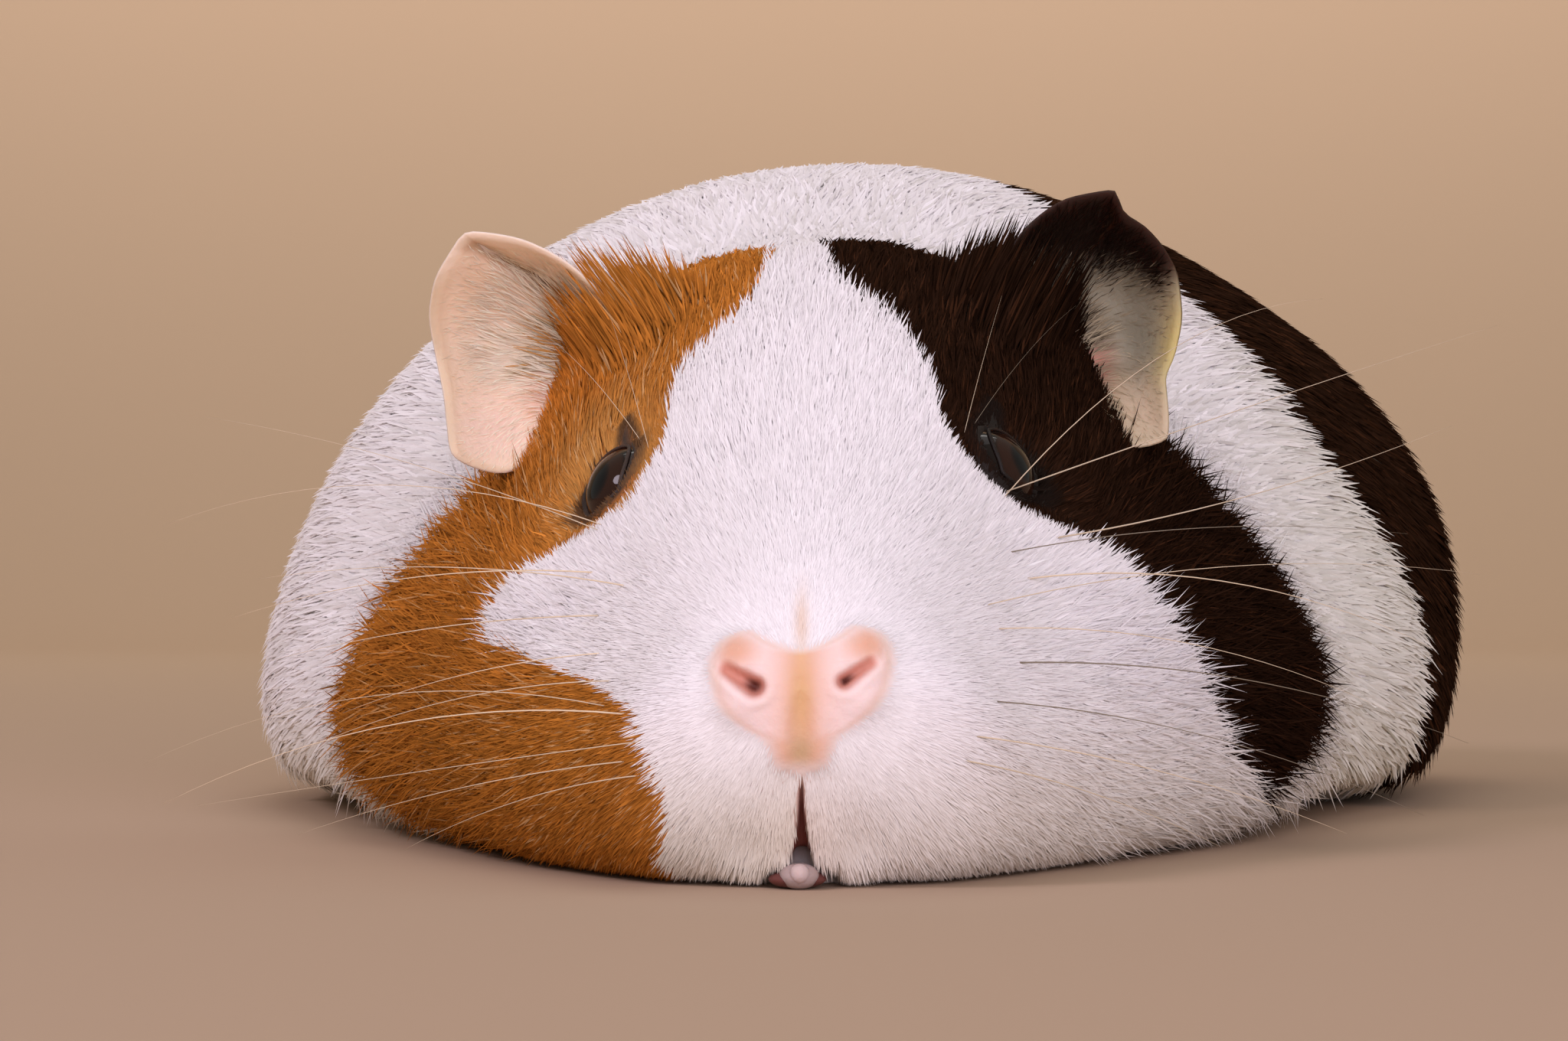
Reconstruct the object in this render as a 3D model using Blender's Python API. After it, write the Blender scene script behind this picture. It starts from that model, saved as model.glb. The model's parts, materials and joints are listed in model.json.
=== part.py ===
"""A guinea pig at life size, lying flat with its chin on the floor.

The nose points to -Y and the rump swings a little to +X. Sizes are in millimetres and
are turned into metres when a mesh is made. Every solid reaches out to the tips of the coat.
Places on the animal are given as (side, back, up): side is the distance from its middle
plane, positive on its left, back is the distance behind the tip of the nose along the
spine, and up is the height above the floor.
"""
import math

import bmesh
import bpy
import numpy as np
from mathutils import Matrix, Vector

MM = 0.001
GAP = 0.3                 # clearance between neighbouring solids

# The whole animal
LENGTH = 250.0            # nose to rump
NOSE_ROUND = 10.0         # length over which the front of the face closes
NOSE_LEVEL = 14.5         # height of the tip of the nose
RUMP_ROUND = 82.0         # length over which the rump closes
RUMP_LEVEL = 27.0         # height of the hindmost point
RUMP_POWER = 2.4          # 2 is an ellipse, more is blunter
ROLL = 0.045              # slope across the head, its left side higher
ROLL_FADES = (62.0, 112.0)
ROLL_STARTS = 14.0        # height up to which the slope grows from nothing
ROLL_PIVOT = 27.0         # above this height the head leans aside too
TRUNK_LEAN = 0.050        # how far the trunk leans to its right per mm above LEAN_STARTS
LEAN_STARTS = 20.0
LEAN_FADES = ((78.0, 108.0), (170.0, 225.0))
SPINE_REACH = 8.0         # the spine's direction is taken over this much of it on each side

# Curves along the body, as (back, value)
SPINE_SWING = ((-10, -0.2), (0, 0.0), (30, 0.7), (62, 2.7), (100, 3.7), (135, 5.6), (170, 10.0), (205, 18.6),
               (250, 33.0), (262, 36.8))
TOP_LINE = ((0, 20.6), (10, 25.6), (20, 31.4), (32, 38.2), (45, 45.2), (58, 50.6), (68, 52.9),
            (80, 54.4), (95, 57.6), (115, 62.8), (140, 68.0), (165, 71.0), (190, 71.6), (250, 70.0))
HALF_WIDTH = ((0, 13.0), (8, 15.6), (16, 20.2), (26, 25.0), (38, 30.4), (50, 36.2), (60, 41.0),
              (68, 43.6), (77, 44.6), (88, 49.2), (105, 56.2), (125, 61.4), (150, 64.4),
              (180, 65.8), (205, 64.2), (250, 60.0))
WIDEST_LEVEL = ((0, 13.5), (10, 9.5), (40, 10.0), (65, 12.0), (90, 12.0), (150, 12.5), (205, 18.0),
                (250, 23.0))
DOME = ((0, 1.5), (10, 1.1), (22, 1.1), (36, 1.22), (60, 1.08), (84, 1.12), (110, 1.40), (150, 1.72),
        (200, 1.85), (250, 1.9))
UNDERSIDE = ((0, 0), (50, 0), (62, 0.4), (84, 0.5), (104, 0.0), (205, 0), (222, 4.0), (250, 9.0))
FLAT_SHARE = ((0, 0.5), (10, 0.62), (30, 0.84), (66, 0.86), (88, 0.93), (125, 0.95), (165, 0.93),
              (184, 0.74), (196, 0.58), (225, 0.5), (250, 0.55))
RING_STEP = ((0, 1.0), (6, 2.4), (20, 4.2), (70, 5.4), (95, 9.0), (130, 12.5), (200, 11.0), (230, 6.5),
             (244, 3.0), (250, 1.6))
FACE_LEANS = 0.6          # how far the swellings of the face push forward for each mm ahead of NOSE_ROUND
FLAT_STEPS = 2
SIDE_STEPS = 4
DOME_STEPS = 11

# Soft swellings and hollows: (side, back, up), reach in the same order, height outward
SWELLINGS = {
    "whisker_pad": ((9.5, 5.0, 8.0), (7.0, 7.0, 7.0), 1.5),
    "cheek": ((24.0, 40.0, 19.0), (11.0, 15.0, 9.0), 1.6),
    "brow": ((12.5, 33.0, 37.5), (4.5, 8.0, 4.5), 1.2),
    "muzzle_side": ((17.0, 21.0, 24.0), (6.0, 9.0, 6.0), -1.3),
    "eye_hollow": ((17.0, 34.0, 30.0), (4.0, 6.0, 4.5), -0.5),
    "crown_side": ((15.0, 62.0, 48.0), (7.0, 9.0, 6.0), 1.2),
    "shoulder": ((44.0, 112.0, 36.0), (14.0, 17.0, 17.0), 1.0),
    "haunch": ((52.0, 200.0, 34.0), (22.0, 24.0, 22.0), 3.2),
    "flank_hollow": ((54.0, 158.0, 36.0), (20.0, 14.0, 20.0), -1.8),
}

# Nose pad and mouth
NOSE_HALF_WIDTH = 6.5
NOSE_TOP = 18.6
NOSE_WAIST = 2.6
NOSE_FOOT = 9.2
NOSE_THICK = 3.6
NOSE_WING = 0.52          # radius of each round wing as a share of the nose's half width
NOSE_WING_ARC = (math.radians(100), math.radians(-45))
NOSE_WING_STEPS = 8
NOSE_NARROWS = 0.62       # width of the foot of the nose as a share of its waist
AHEAD_OF_FACE = 4.0       # cutters start this far in front of the face
NOSTRIL_PLACE = (3.8, 0.9, 14.7)
NOSTRIL_RADII = (1.25, 2.2, 0.75)
NOSTRIL_SLANT = math.radians(32)
NOSTRIL_FACES = (8, 6)
CLEFT_TOP = 7.6
CLEFT_HALF_WIDTH = 0.8
CLEFT_TIP = 0.12          # half width of the cleft's upper end
CLEFT_BELOW = 1.0         # how far the cleft's cutter reaches below the floor
CLEFT_DEPTH = 5.2
LIP_RADII = (2.1, 2.7, 1.9)
LIP_FRONT = 4.0           # distance of the lip behind the tip of the nose
LIP_ROUNDS = (0.6, 0.72)  # width and height of the lip's front end as shares of the lip's own
JAW_LENGTH = 37.0
JAW_HALF_WIDTH = 10.5
JAW_HEIGHT = 4.6
JAW_STEPS = 6
JAW_SIDES = 8
JAW_SPACING = 1.3         # above 1, the jaw's sections lie closer together at the lip
JAW_SQUARE = 0.7          # below 1, the jaw's section is fuller than an ellipse

# Eyes
EYE_RADIUS = 4.2
EYE_PLACE = (13.8, 36.0, 29.1)
EYE_FACES = (14, 9)

# Cuts between the parts: distance back at the floor and how far the cut leans back per mm up
MUZZLE_CUT = (20.0, 0.16)
NECK_FRONT_CUT = (66.0, 0.16)
NECK_BACK_CUT = (86.0, 0.16)

# Ears: the root line and the free edge, each as top, middle and bottom points
EAR_ROOT = ((16.5, 56.5, 48.4), (21.0, 65.0, 43.0), (25.0, 59.5, 35.0))
EAR_EDGE = ((27.6, 58.5, 54.0), (33.0, 63.0, 46.8), (28.6, 60.0, 33.8))
EAR_CUP = 4.2
EAR_CURL = 2.0
EAR_THICK = 1.6
EAR_STEPS = (6, 9)
EAR_INSIDE = 0.3          # how far each ear reaches into the head, as a share of its width
EAR_DEEP = (0.15, 0.85)   # the ear is deepest between these shares of its height
FOLD_SINKS = 0.35         # how far the folded corner drops for each mm that it folds forward
EAR_FOLD = {"ear_right": 2.2, "ear_left": 4.6}
EAR_OUT = {"ear_right": 0.8, "ear_left": -2.0}

# Legs: middle and reach of the part of the body that belongs to each leg
UPPER_ARM = ((50.0, 108.0, 20.0), (17.0, 20.0, 22.0))
THIGH = ((56.0, 200.0, 27.0), (26.0, 30.0, 28.0))
LEG_FACES = (14, 8)

# Feet, each lying flat: middle of the sole, radii, turn outward, toes
FORE_FOOT = dict(middle=(31.5, 101.0), radii=(5.6, 9.5, 5.4), turn=math.radians(4),
                 toes=4, toe_length=9.0, toe_radius=2.1, spread=math.radians(13), claw=3.6)
HIND_FOOT = dict(middle=(42.5, 199.0), radii=(6.6, 16.0, 6.2), turn=math.radians(9),
                 toes=3, toe_length=11.0, toe_radius=2.7, spread=math.radians(12), claw=5.0)
FOOT_LEVEL = 2.9
TOE_ROOT = (1.5, 0.66)    # where the toes start, as shares of the foot's width and length
TOE_REACH = 0.28          # how far a toe's middle lies beyond its start, as a share of its length
TOE_SINKS = 0.35          # how much of a toe is pressed flat
HOLLOW_SINKS = 1.3        # how far below the floor the middle of the hollow over a foot lies
HOLLOW_EASE = 1.06        # makes up for the flat faces of the hollow
FOOT_FACES = (10, 6)
TOE_FACES = (8, 5)
CLAW_RADIUS = 0.95
CLAW_TIP = 0.3
CLAW_RISE = 0.5           # height of a claw's root above the middle of its toe
CLAW_DROP = 1.1           # how far its tip bends down
CLAW_SIDES = 6
CLAW_STAGES = 3

COLOURS = {
    "white_coat": (0.86, 0.80, 0.78),
    "orange_coat": (0.50, 0.20, 0.05),
    "black_coat": (0.030, 0.014, 0.008),
    "pink_skin": (0.80, 0.46, 0.38),
    "eye": (0.010, 0.006, 0.005),
    "claw": (0.66, 0.56, 0.46),
}
ROUGHNESS = {"eye": 0.06, "claw": 0.35, "pink_skin": 0.5}


# ---------------------------------------------------------------- curves and places
def smooth_curve(points, where):
    """A curve through (x, value) points that never swings past them."""
    xs = np.array([p[0] for p in points], float)
    ys = np.array([p[1] for p in points], float)
    step = np.diff(xs)
    rise = np.diff(ys) / step
    slope = np.zeros(len(xs))
    for i in range(1, len(xs) - 1):
        if rise[i - 1] * rise[i] > 0:
            a = 2 * step[i] + step[i - 1]
            b = step[i] + 2 * step[i - 1]
            slope[i] = (a + b) / (a / rise[i - 1] + b / rise[i])
    slope[0] = rise[0]
    slope[-1] = rise[-1]
    i = min(max(int(np.searchsorted(xs, where)) - 1, 0), len(step) - 1)
    t = min(max((where - xs[i]) / step[i], 0.0), 1.0)
    start = (1 + 2 * t) * (1 - t) ** 2 * ys[i] + t * (1 - t) ** 2 * step[i] * slope[i]
    end = t * t * (3 - 2 * t) * ys[i + 1] + t * t * (t - 1) * step[i] * slope[i + 1]
    return float(start + end)


def fade(low, high, value):
    """0 below low, 1 above high, smooth between."""
    t = min(max((value - low) / (high - low), 0.0), 1.0)
    return t * t * (3 - 2 * t)


def spine_heading(back):
    """Angle of the spine to +Y at a place along it."""
    before, after = (smooth_curve(SPINE_SWING, back + step) for step in (-SPINE_REACH, SPINE_REACH))
    return math.atan((after - before) / (2 * SPINE_REACH))


def place(side, back, up):
    """A place on the animal as a point in the model's frame, in millimetres."""
    roll = ROLL * (1 - fade(*ROLL_FADES, back)) * fade(0.0, ROLL_STARTS, up)
    lean = TRUNK_LEAN * fade(*LEAN_FADES[0], back) * (1 - fade(*LEAN_FADES[1], back))
    lean *= max(up - LEAN_STARTS, 0.0)
    side, up = side - roll * max(up - ROLL_PIVOT, 0.0) - lean, up + roll * side
    heading = spine_heading(back)
    x = smooth_curve(SPINE_SWING, back) + side * math.cos(heading)
    return Vector((x, back - side * math.sin(heading), up))


def closing(back):
    """How far the section is open: 0 at the nose tip and the rump, 1 between."""
    if back < NOSE_ROUND:
        return math.sqrt(max(1 - (1 - back / NOSE_ROUND) ** 2, 0.0)), NOSE_LEVEL
    start = LENGTH - RUMP_ROUND
    if back > start:
        return math.sqrt(max(1 - ((back - start) / RUMP_ROUND) ** RUMP_POWER, 0.0)), RUMP_LEVEL
    return 1.0, 0.0


def half_section(back, grow):
    """(side, up) of one half of a section, from the middle of the underside to the top."""
    opened, level = closing(back)
    width = smooth_curve(HALF_WIDTH, back) * opened + grow
    top = level + (smooth_curve(TOP_LINE, back) - level) * opened + grow
    under = level + (smooth_curve(UNDERSIDE, back) - level) * opened - grow
    widest = level + (smooth_curve(WIDEST_LEVEL, back) - level) * opened
    flat = width * smooth_curve(FLAT_SHARE, back)
    power = smooth_curve(DOME, back)
    points = [(flat * i / FLAT_STEPS, under) for i in range(FLAT_STEPS)]
    for i in range(SIDE_STEPS):
        turn = math.pi / 2 * i / SIDE_STEPS
        points.append((flat + (width - flat) * math.sin(turn), widest - (widest - under) * math.cos(turn)))
    for i in range(DOME_STEPS + 1):
        share = math.sin(math.pi / 2 * i / DOME_STEPS)
        points.append((width * math.sqrt(max(1 - share ** power, 0.0)), widest + (top - widest) * share))
    return points


def swelling(side, back, up):
    """Height of all the soft swellings at a place, outward."""
    total = 0.0
    for middle, reach, height in SWELLINGS.values():
        away = ((abs(side) - middle[0]) / reach[0]) ** 2
        away += ((back - middle[1]) / reach[1]) ** 2
        away += ((up - middle[2]) / reach[2]) ** 2
        total += height * math.exp(-away)
    return total


def ring(back, grow):
    """One closed ring of the body, as points in the model's frame."""
    half = half_section(back, grow)
    outline = half + [(-side, up) for side, up in reversed(half[1:-1])]
    level = smooth_curve(WIDEST_LEVEL, back)
    points = []
    for side, up in outline:
        out = Vector((side, FACE_LEANS * min(back - NOSE_ROUND, 0.0), up - level))
        lift = swelling(side, back, up) * fade(0.0, 3.0, up)
        if out.length > 0:
            out = out.normalized() * lift
        points.append(place(side + out.x, back + out.y, up + max(out.z, 0.0)))
    return points


# ---------------------------------------------------------------- meshes
def new_object(name, bm, colour):
    """A finished object from a bmesh in millimetres."""
    bmesh.ops.remove_doubles(bm, verts=bm.verts, dist=0.01)
    bmesh.ops.recalc_face_normals(bm, faces=bm.faces)
    bm.transform(Matrix.Scale(MM, 4))
    mesh = bpy.data.meshes.new(name)
    bm.to_mesh(mesh)
    bm.free()
    mesh.shade_smooth()
    mesh.set_sharp_from_angle(angle=math.radians(40))
    item = bpy.data.objects.new(name, mesh)
    bpy.context.collection.objects.link(item)
    if colour:
        mesh.materials.append(material(colour))
    return item


def material(colour):
    found = bpy.data.materials.get(colour)
    if found:
        return found
    made = bpy.data.materials.new(colour)
    made.use_nodes = True
    shader = made.node_tree.nodes["Principled BSDF"]
    shader.inputs["Base Color"].default_value = (*COLOURS[colour], 1.0)
    shader.inputs["Roughness"].default_value = ROUGHNESS.get(colour, 0.85)
    shader.inputs["Metallic"].default_value = 0.0
    return made


def body_mesh(grow=0.0):
    """The whole animal without ears, eyes and feet, as one closed skin."""
    backs = []
    back = RING_STEP[0][1] / 2
    while back < LENGTH - 0.5:
        backs.append(back)
        back += smooth_curve(RING_STEP, back)
    bm = bmesh.new()
    rings = [[bm.verts.new(p) for p in ring(b, grow)] for b in backs]
    for near, far in zip(rings, rings[1:]):
        for i in range(len(near)):
            j = (i + 1) % len(near)
            bm.faces.new((near[i], near[j], far[j], far[i]))
    for end, tip in ((rings[0], -grow), (rings[-1], LENGTH + grow)):
        level = NOSE_LEVEL if end is rings[0] else RUMP_LEVEL
        pole = bm.verts.new(place(0.0, tip, level))
        for i in range(len(end)):
            bm.faces.new((end[i], end[(i + 1) % len(end)], pole))
    return bm


def ellipsoid(middle, radii, faces, turn=None):
    """A closed ellipsoid about a point of the model's frame, with so many faces around and down."""
    bm = bmesh.new()
    bmesh.ops.create_uvsphere(bm, u_segments=faces[0], v_segments=faces[1], radius=1.0)
    bm.transform(Matrix.Diagonal((*radii, 1.0)))
    if turn is not None:
        bm.transform(turn.to_4x4())
    bm.transform(Matrix.Translation(middle))
    return bm


def cut_block(bm, near=None, far=None):
    """The stretch of a closed mesh behind the near cut and before the far one."""
    block = bm.copy()
    for cut, sign in ((near, -1.0), (far, 1.0)):
        if cut is None:
            continue
        back, lean = cut
        back = back - sign * GAP / 2
        start = place(0.0, back, 0.0)
        ahead = place(0.0, back + 1.0, 0.0) - start
        normal = Vector((ahead.x, ahead.y, -lean)).normalized() * sign
        made = bmesh.ops.bisect_plane(block, geom=block.verts[:] + block.edges[:] + block.faces[:],
                                      plane_co=start, plane_no=normal, clear_outer=True)
        edges = [e for e in made["geom_cut"] if isinstance(e, bmesh.types.BMEdge)]
        bmesh.ops.contextual_create(block, geom=edges)
    flat = [f for f in block.faces if len(f.verts) > 4]
    bmesh.ops.triangulate(block, faces=flat)
    return block


def cutter(bm, name):
    """A hidden object that only cuts."""
    item = new_object(name, bm, None)
    item.hide_render = True
    item.display_type = "WIRE"
    return item


def combine(item, other, operation, solver="EXACT"):
    """Apply a Boolean of one object with another."""
    modifier = item.modifiers.new("combine", "BOOLEAN")
    modifier.object = other
    modifier.operation = operation
    modifier.solver = solver
    evaluated = item.evaluated_get(bpy.context.evaluated_depsgraph_get())
    mesh = bpy.data.meshes.new_from_object(evaluated)
    item.modifiers.remove(modifier)
    item.data = mesh


def cut_away(item, bm, name="cutter"):
    """Remove the volume of a mesh from an object."""
    tool = cutter(bm, name)
    combine(item, tool, "DIFFERENCE")
    bpy.data.objects.remove(tool)


# ---------------------------------------------------------------- nose and mouth
def nose_outline(grow):
    """Heart-like outline of the nose pad, (side, up), round wings above a narrow foot."""
    wide = NOSE_HALF_WIDTH + grow
    wing = wide * NOSE_WING
    centre = NOSTRIL_PLACE[2]
    rise = NOSE_TOP + grow - centre
    first, last = NOSE_WING_ARC
    half = []
    for i in range(NOSE_WING_STEPS + 1):
        turn = first + (last - first) * i / NOSE_WING_STEPS
        half.append((wide - wing + wing * math.cos(turn), centre + rise * math.sin(turn)))
    half.append((NOSE_WAIST + grow, centre - rise))
    half.append((NOSE_WAIST * NOSE_NARROWS + grow, NOSE_FOOT - grow))
    return half + [(-side, up) for side, up in reversed(half)]


def nose_prism(grow):
    """A prism of the nose's outline, as deep as the pad is thick."""
    bm = bmesh.new()
    outline = nose_outline(grow)
    front = [bm.verts.new(place(side, -AHEAD_OF_FACE, up)) for side, up in outline]
    rear = [bm.verts.new(place(side, NOSE_THICK + grow, up)) for side, up in outline]
    for i in range(len(front)):
        j = (i + 1) % len(front)
        bm.faces.new((front[i], front[j], rear[j], rear[i]))
    bm.faces.new(front)
    bm.faces.new(reversed(rear))
    bmesh.ops.triangulate(bm, faces=[f for f in bm.faces if len(f.verts) > 4])
    return bm


def make_nose(face):
    """The nose pad, cut out of the front of the face, with its two nostrils."""
    nose = new_object("nose", face.copy(), "pink_skin")
    tool = cutter(nose_prism(0.0), "nose_cutter")
    combine(nose, tool, "INTERSECT")
    bpy.data.objects.remove(tool)
    for side in (-1, 1):
        turn = Matrix.Rotation(side * NOSTRIL_SLANT, 3, "Y")
        middle = place(side * NOSTRIL_PLACE[0], NOSTRIL_PLACE[1], NOSTRIL_PLACE[2])
        cut_away(nose, ellipsoid(middle, NOSTRIL_RADII, NOSTRIL_FACES, turn))
    return nose


def jaw_mesh(grow):
    """The lower jaw, a low tapering wedge that ends in the round lip."""
    bm = bmesh.new()
    rings = []
    for i in range(JAW_STEPS + 1):
        share = i / JAW_STEPS
        back = LIP_FRONT + LIP_RADII[1] + JAW_LENGTH * share ** JAW_SPACING
        wide = LIP_RADII[0] + (JAW_HALF_WIDTH - LIP_RADII[0]) * math.sin(share * math.pi / 2)
        tall = 2 * LIP_RADII[2] + (JAW_HEIGHT - 2 * LIP_RADII[2]) * share
        if i == 0:
            back, wide, tall = LIP_FRONT - grow, wide * LIP_ROUNDS[0], tall * LIP_ROUNDS[1]
        if i == JAW_STEPS:
            back += grow
        points = []
        for k in range(JAW_SIDES + 1):
            turn = math.pi * k / JAW_SIDES
            up = (tall + grow) * math.sin(turn) ** JAW_SQUARE if 0 < k < JAW_SIDES else -grow
            points.append(bm.verts.new(place((wide + grow) * math.cos(turn), back, up)))
        rings.append(points)
    for near, far in zip(rings, rings[1:]):
        for k in range(len(near)):
            j = (k + 1) % len(near)
            bm.faces.new((near[k], near[j], far[j], far[k]))
    bm.faces.new(rings[0])
    bm.faces.new(reversed(rings[-1]))
    bmesh.ops.triangulate(bm, faces=[f for f in bm.faces if len(f.verts) > 4])
    return bm


def cleft_wedge():
    """The split in the upper lip, narrow above and wide at the mouth."""
    bm = bmesh.new()
    half = [(CLEFT_TIP, CLEFT_TOP, CLEFT_DEPTH), (CLEFT_HALF_WIDTH, -CLEFT_BELOW, CLEFT_DEPTH + CLEFT_BELOW)]
    corners = half + [(-side, up, deep) for side, up, deep in reversed(half)]
    front = [bm.verts.new(place(side, -AHEAD_OF_FACE, up)) for side, up, _ in corners]
    rear = [bm.verts.new(place(side, deep, up)) for side, up, deep in corners]
    for i in range(4):
        j = (i + 1) % 4
        bm.faces.new((front[i], front[j], rear[j], rear[i]))
    bm.faces.new(front)
    bm.faces.new(reversed(rear))
    return bm


# ---------------------------------------------------------------- ears and eyes
def bow(points, share):
    """A point on the curve through three points, at a share of its length."""
    first, middle, last = (Vector(p) for p in points)
    control = 2 * middle - (first + last) / 2
    return (1 - share) ** 2 * first + 2 * share * (1 - share) * control + share ** 2 * last


def make_ear(name, side, around):
    """A thin drooping ear, cupped toward the front, cut off where it meets the head."""
    across, along = EAR_STEPS
    fold = EAR_FOLD[name]
    bm = bmesh.new()
    grid = []
    for j in range(along + 1):
        down = j / along
        root, edge = bow(EAR_ROOT, down), bow(EAR_EDGE, down)
        row = []
        for i in range(across + 1):
            along_ear = -EAR_INSIDE + (1 + EAR_INSIDE) * i / across
            out = max(along_ear, 0.0)
            point = root.lerp(edge, along_ear)
            deep = EAR_DEEP[0] + (EAR_DEEP[1] - EAR_DEEP[0]) * down
            point.y += EAR_CUP * math.sin(math.pi * out) * math.sin(math.pi * deep) - EAR_CURL * out ** 3
            corner = fold * out ** 3 * (1 - down) ** 3
            point.y -= corner
            point.z -= FOLD_SINKS * corner
            point.x += EAR_OUT[name] * out
            row.append(bm.verts.new(place(side * point.x, point.y, point.z)))
        grid.append(row)
    for j in range(along):
        for i in range(across):
            bm.faces.new((grid[j][i], grid[j][i + 1], grid[j + 1][i + 1], grid[j + 1][i]))
    ear = new_object(name, bm, "pink_skin" if name == "ear_right" else "black_coat")
    solid = ear.modifiers.new("thickness", "SOLIDIFY")
    solid.thickness = EAR_THICK * MM
    solid.offset = 0.0
    evaluated = ear.evaluated_get(bpy.context.evaluated_depsgraph_get())
    mesh = bpy.data.meshes.new_from_object(evaluated)
    ear.modifiers.remove(solid)
    ear.data = mesh
    combine(ear, around, "DIFFERENCE")
    return ear


def keep_largest(item):
    """Drop small loose scraps that a cut leaves behind."""
    bm = bmesh.new()
    bm.from_mesh(item.data)
    bm.verts.ensure_lookup_table()
    left = set(bm.verts)
    islands = []
    while left:
        stack = [left.pop()]
        island = set(stack)
        while stack:
            for edge in stack.pop().link_edges:
                for vert in edge.verts:
                    if vert in left:
                        left.discard(vert)
                        island.add(vert)
                        stack.append(vert)
        islands.append(island)
    islands.sort(key=len, reverse=True)
    for island in islands[1:]:
        bmesh.ops.delete(bm, geom=list(island), context="VERTS")
    bm.to_mesh(item.data)
    bm.free()


# ---------------------------------------------------------------- feet
def foot_heading(side, foot):
    """Direction of a foot, as its turn from -Y."""
    return -spine_heading(foot["middle"][1]) + side * foot["turn"]


def make_foot(name, side, foot):
    """One foot, a sole and its toes, flat on the floor, and the line of each claw."""
    heading = foot_heading(side, foot)
    turn = Matrix.Rotation(heading, 3, "Z")
    middle = place(side * foot["middle"][0], foot["middle"][1], FOOT_LEVEL)
    wide, long = foot["radii"][:2]
    item = new_object(name, ellipsoid(middle, foot["radii"], FOOT_FACES, turn), "pink_skin")
    claws = []
    for i in range(foot["toes"]):
        fan = foot["spread"] * (i - (foot["toes"] - 1) / 2)
        aim = Matrix.Rotation(heading + fan, 3, "Z")
        direction = aim @ Vector((0.0, -1.0, 0.0))
        root = turn @ Vector((math.sin(fan) * wide * TOE_ROOT[0], -long * TOE_ROOT[1], 0.0))
        centre = middle + root + direction * foot["toe_length"] * TOE_REACH
        centre.z = foot["toe_radius"] - TOE_SINKS
        radii = (foot["toe_radius"], foot["toe_length"] / 2, foot["toe_radius"])
        toe = cutter(ellipsoid(centre, radii, TOE_FACES, aim), "toe")
        combine(item, toe, "UNION")
        bpy.data.objects.remove(toe)
        claws.append((centre + direction * (foot["toe_length"] / 2 + GAP), direction))
    for vert in item.data.vertices:
        vert.co.z = max(vert.co.z, 0.0)
    return item, claws


def claw_mesh(start, direction, length):
    """A short cone that bends down toward its tip."""
    bm = bmesh.new()
    across = Vector((direction.y, -direction.x, 0.0)).normalized()
    upward = Vector((0.0, 0.0, 1.0))
    rings = []
    for i in range(CLAW_STAGES):
        share = i / (CLAW_STAGES - 1)
        centre = start + direction * length * share + upward * (CLAW_RISE - CLAW_DROP * share ** 2)
        radius = CLAW_RADIUS + (CLAW_TIP - CLAW_RADIUS) * share
        points = []
        for k in range(CLAW_SIDES):
            turn = 2 * math.pi * k / CLAW_SIDES
            points.append(bm.verts.new(centre + (across * math.cos(turn) + upward * math.sin(turn)) * radius))
        rings.append(points)
    for near, far in zip(rings, rings[1:]):
        for k in range(CLAW_SIDES):
            j = (k + 1) % CLAW_SIDES
            bm.faces.new((near[k], near[j], far[j], far[k]))
    bm.faces.new(rings[0])
    bm.faces.new(reversed(rings[-1]))
    return bm


# ---------------------------------------------------------------- the animal
def foot_hollow(pieces, side, foot):
    """The smallest rounded hollow of the foot's own proportions that clears it and its claws."""
    turn = Matrix.Rotation(foot_heading(side, foot), 3, "Z")
    points = [turn.transposed() @ vert.co / MM for piece in pieces for vert in piece.data.vertices]
    low = Vector([min(p[i] for p in points) for i in range(3)])
    high = Vector([max(p[i] for p in points) for i in range(3)])
    middle = Vector(((low.x + high.x) / 2, (low.y + high.y) / 2, -HOLLOW_SINKS))
    reach = Vector(((high.x - low.x) / 2, (high.y - low.y) / 2, high.z + HOLLOW_SINKS))
    size = max(math.sqrt(sum(((p[i] - middle[i]) / reach[i]) ** 2 for i in range(3))) for p in points)
    return ellipsoid(turn @ middle, [r * size * HOLLOW_EASE + GAP for r in reach], LEG_FACES, turn)


def leg_volume(leg, side, grow):
    """The rounded volume that belongs to one upper leg."""
    middle, reach = leg
    turn = Matrix.Rotation(-spine_heading(middle[1]), 3, "Z")
    return ellipsoid(place(side * middle[0], *middle[1:]), [r + grow for r in reach], LEG_FACES, turn)


def make_leg(name, leg, side, body):
    """The part of the body that is the upper leg."""
    item = new_object(name, body.copy(), "white_coat")
    tool = cutter(leg_volume(leg, side, 0.0), "leg_cutter")
    combine(item, tool, "INTERSECT")
    bpy.data.objects.remove(tool)
    return item


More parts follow.
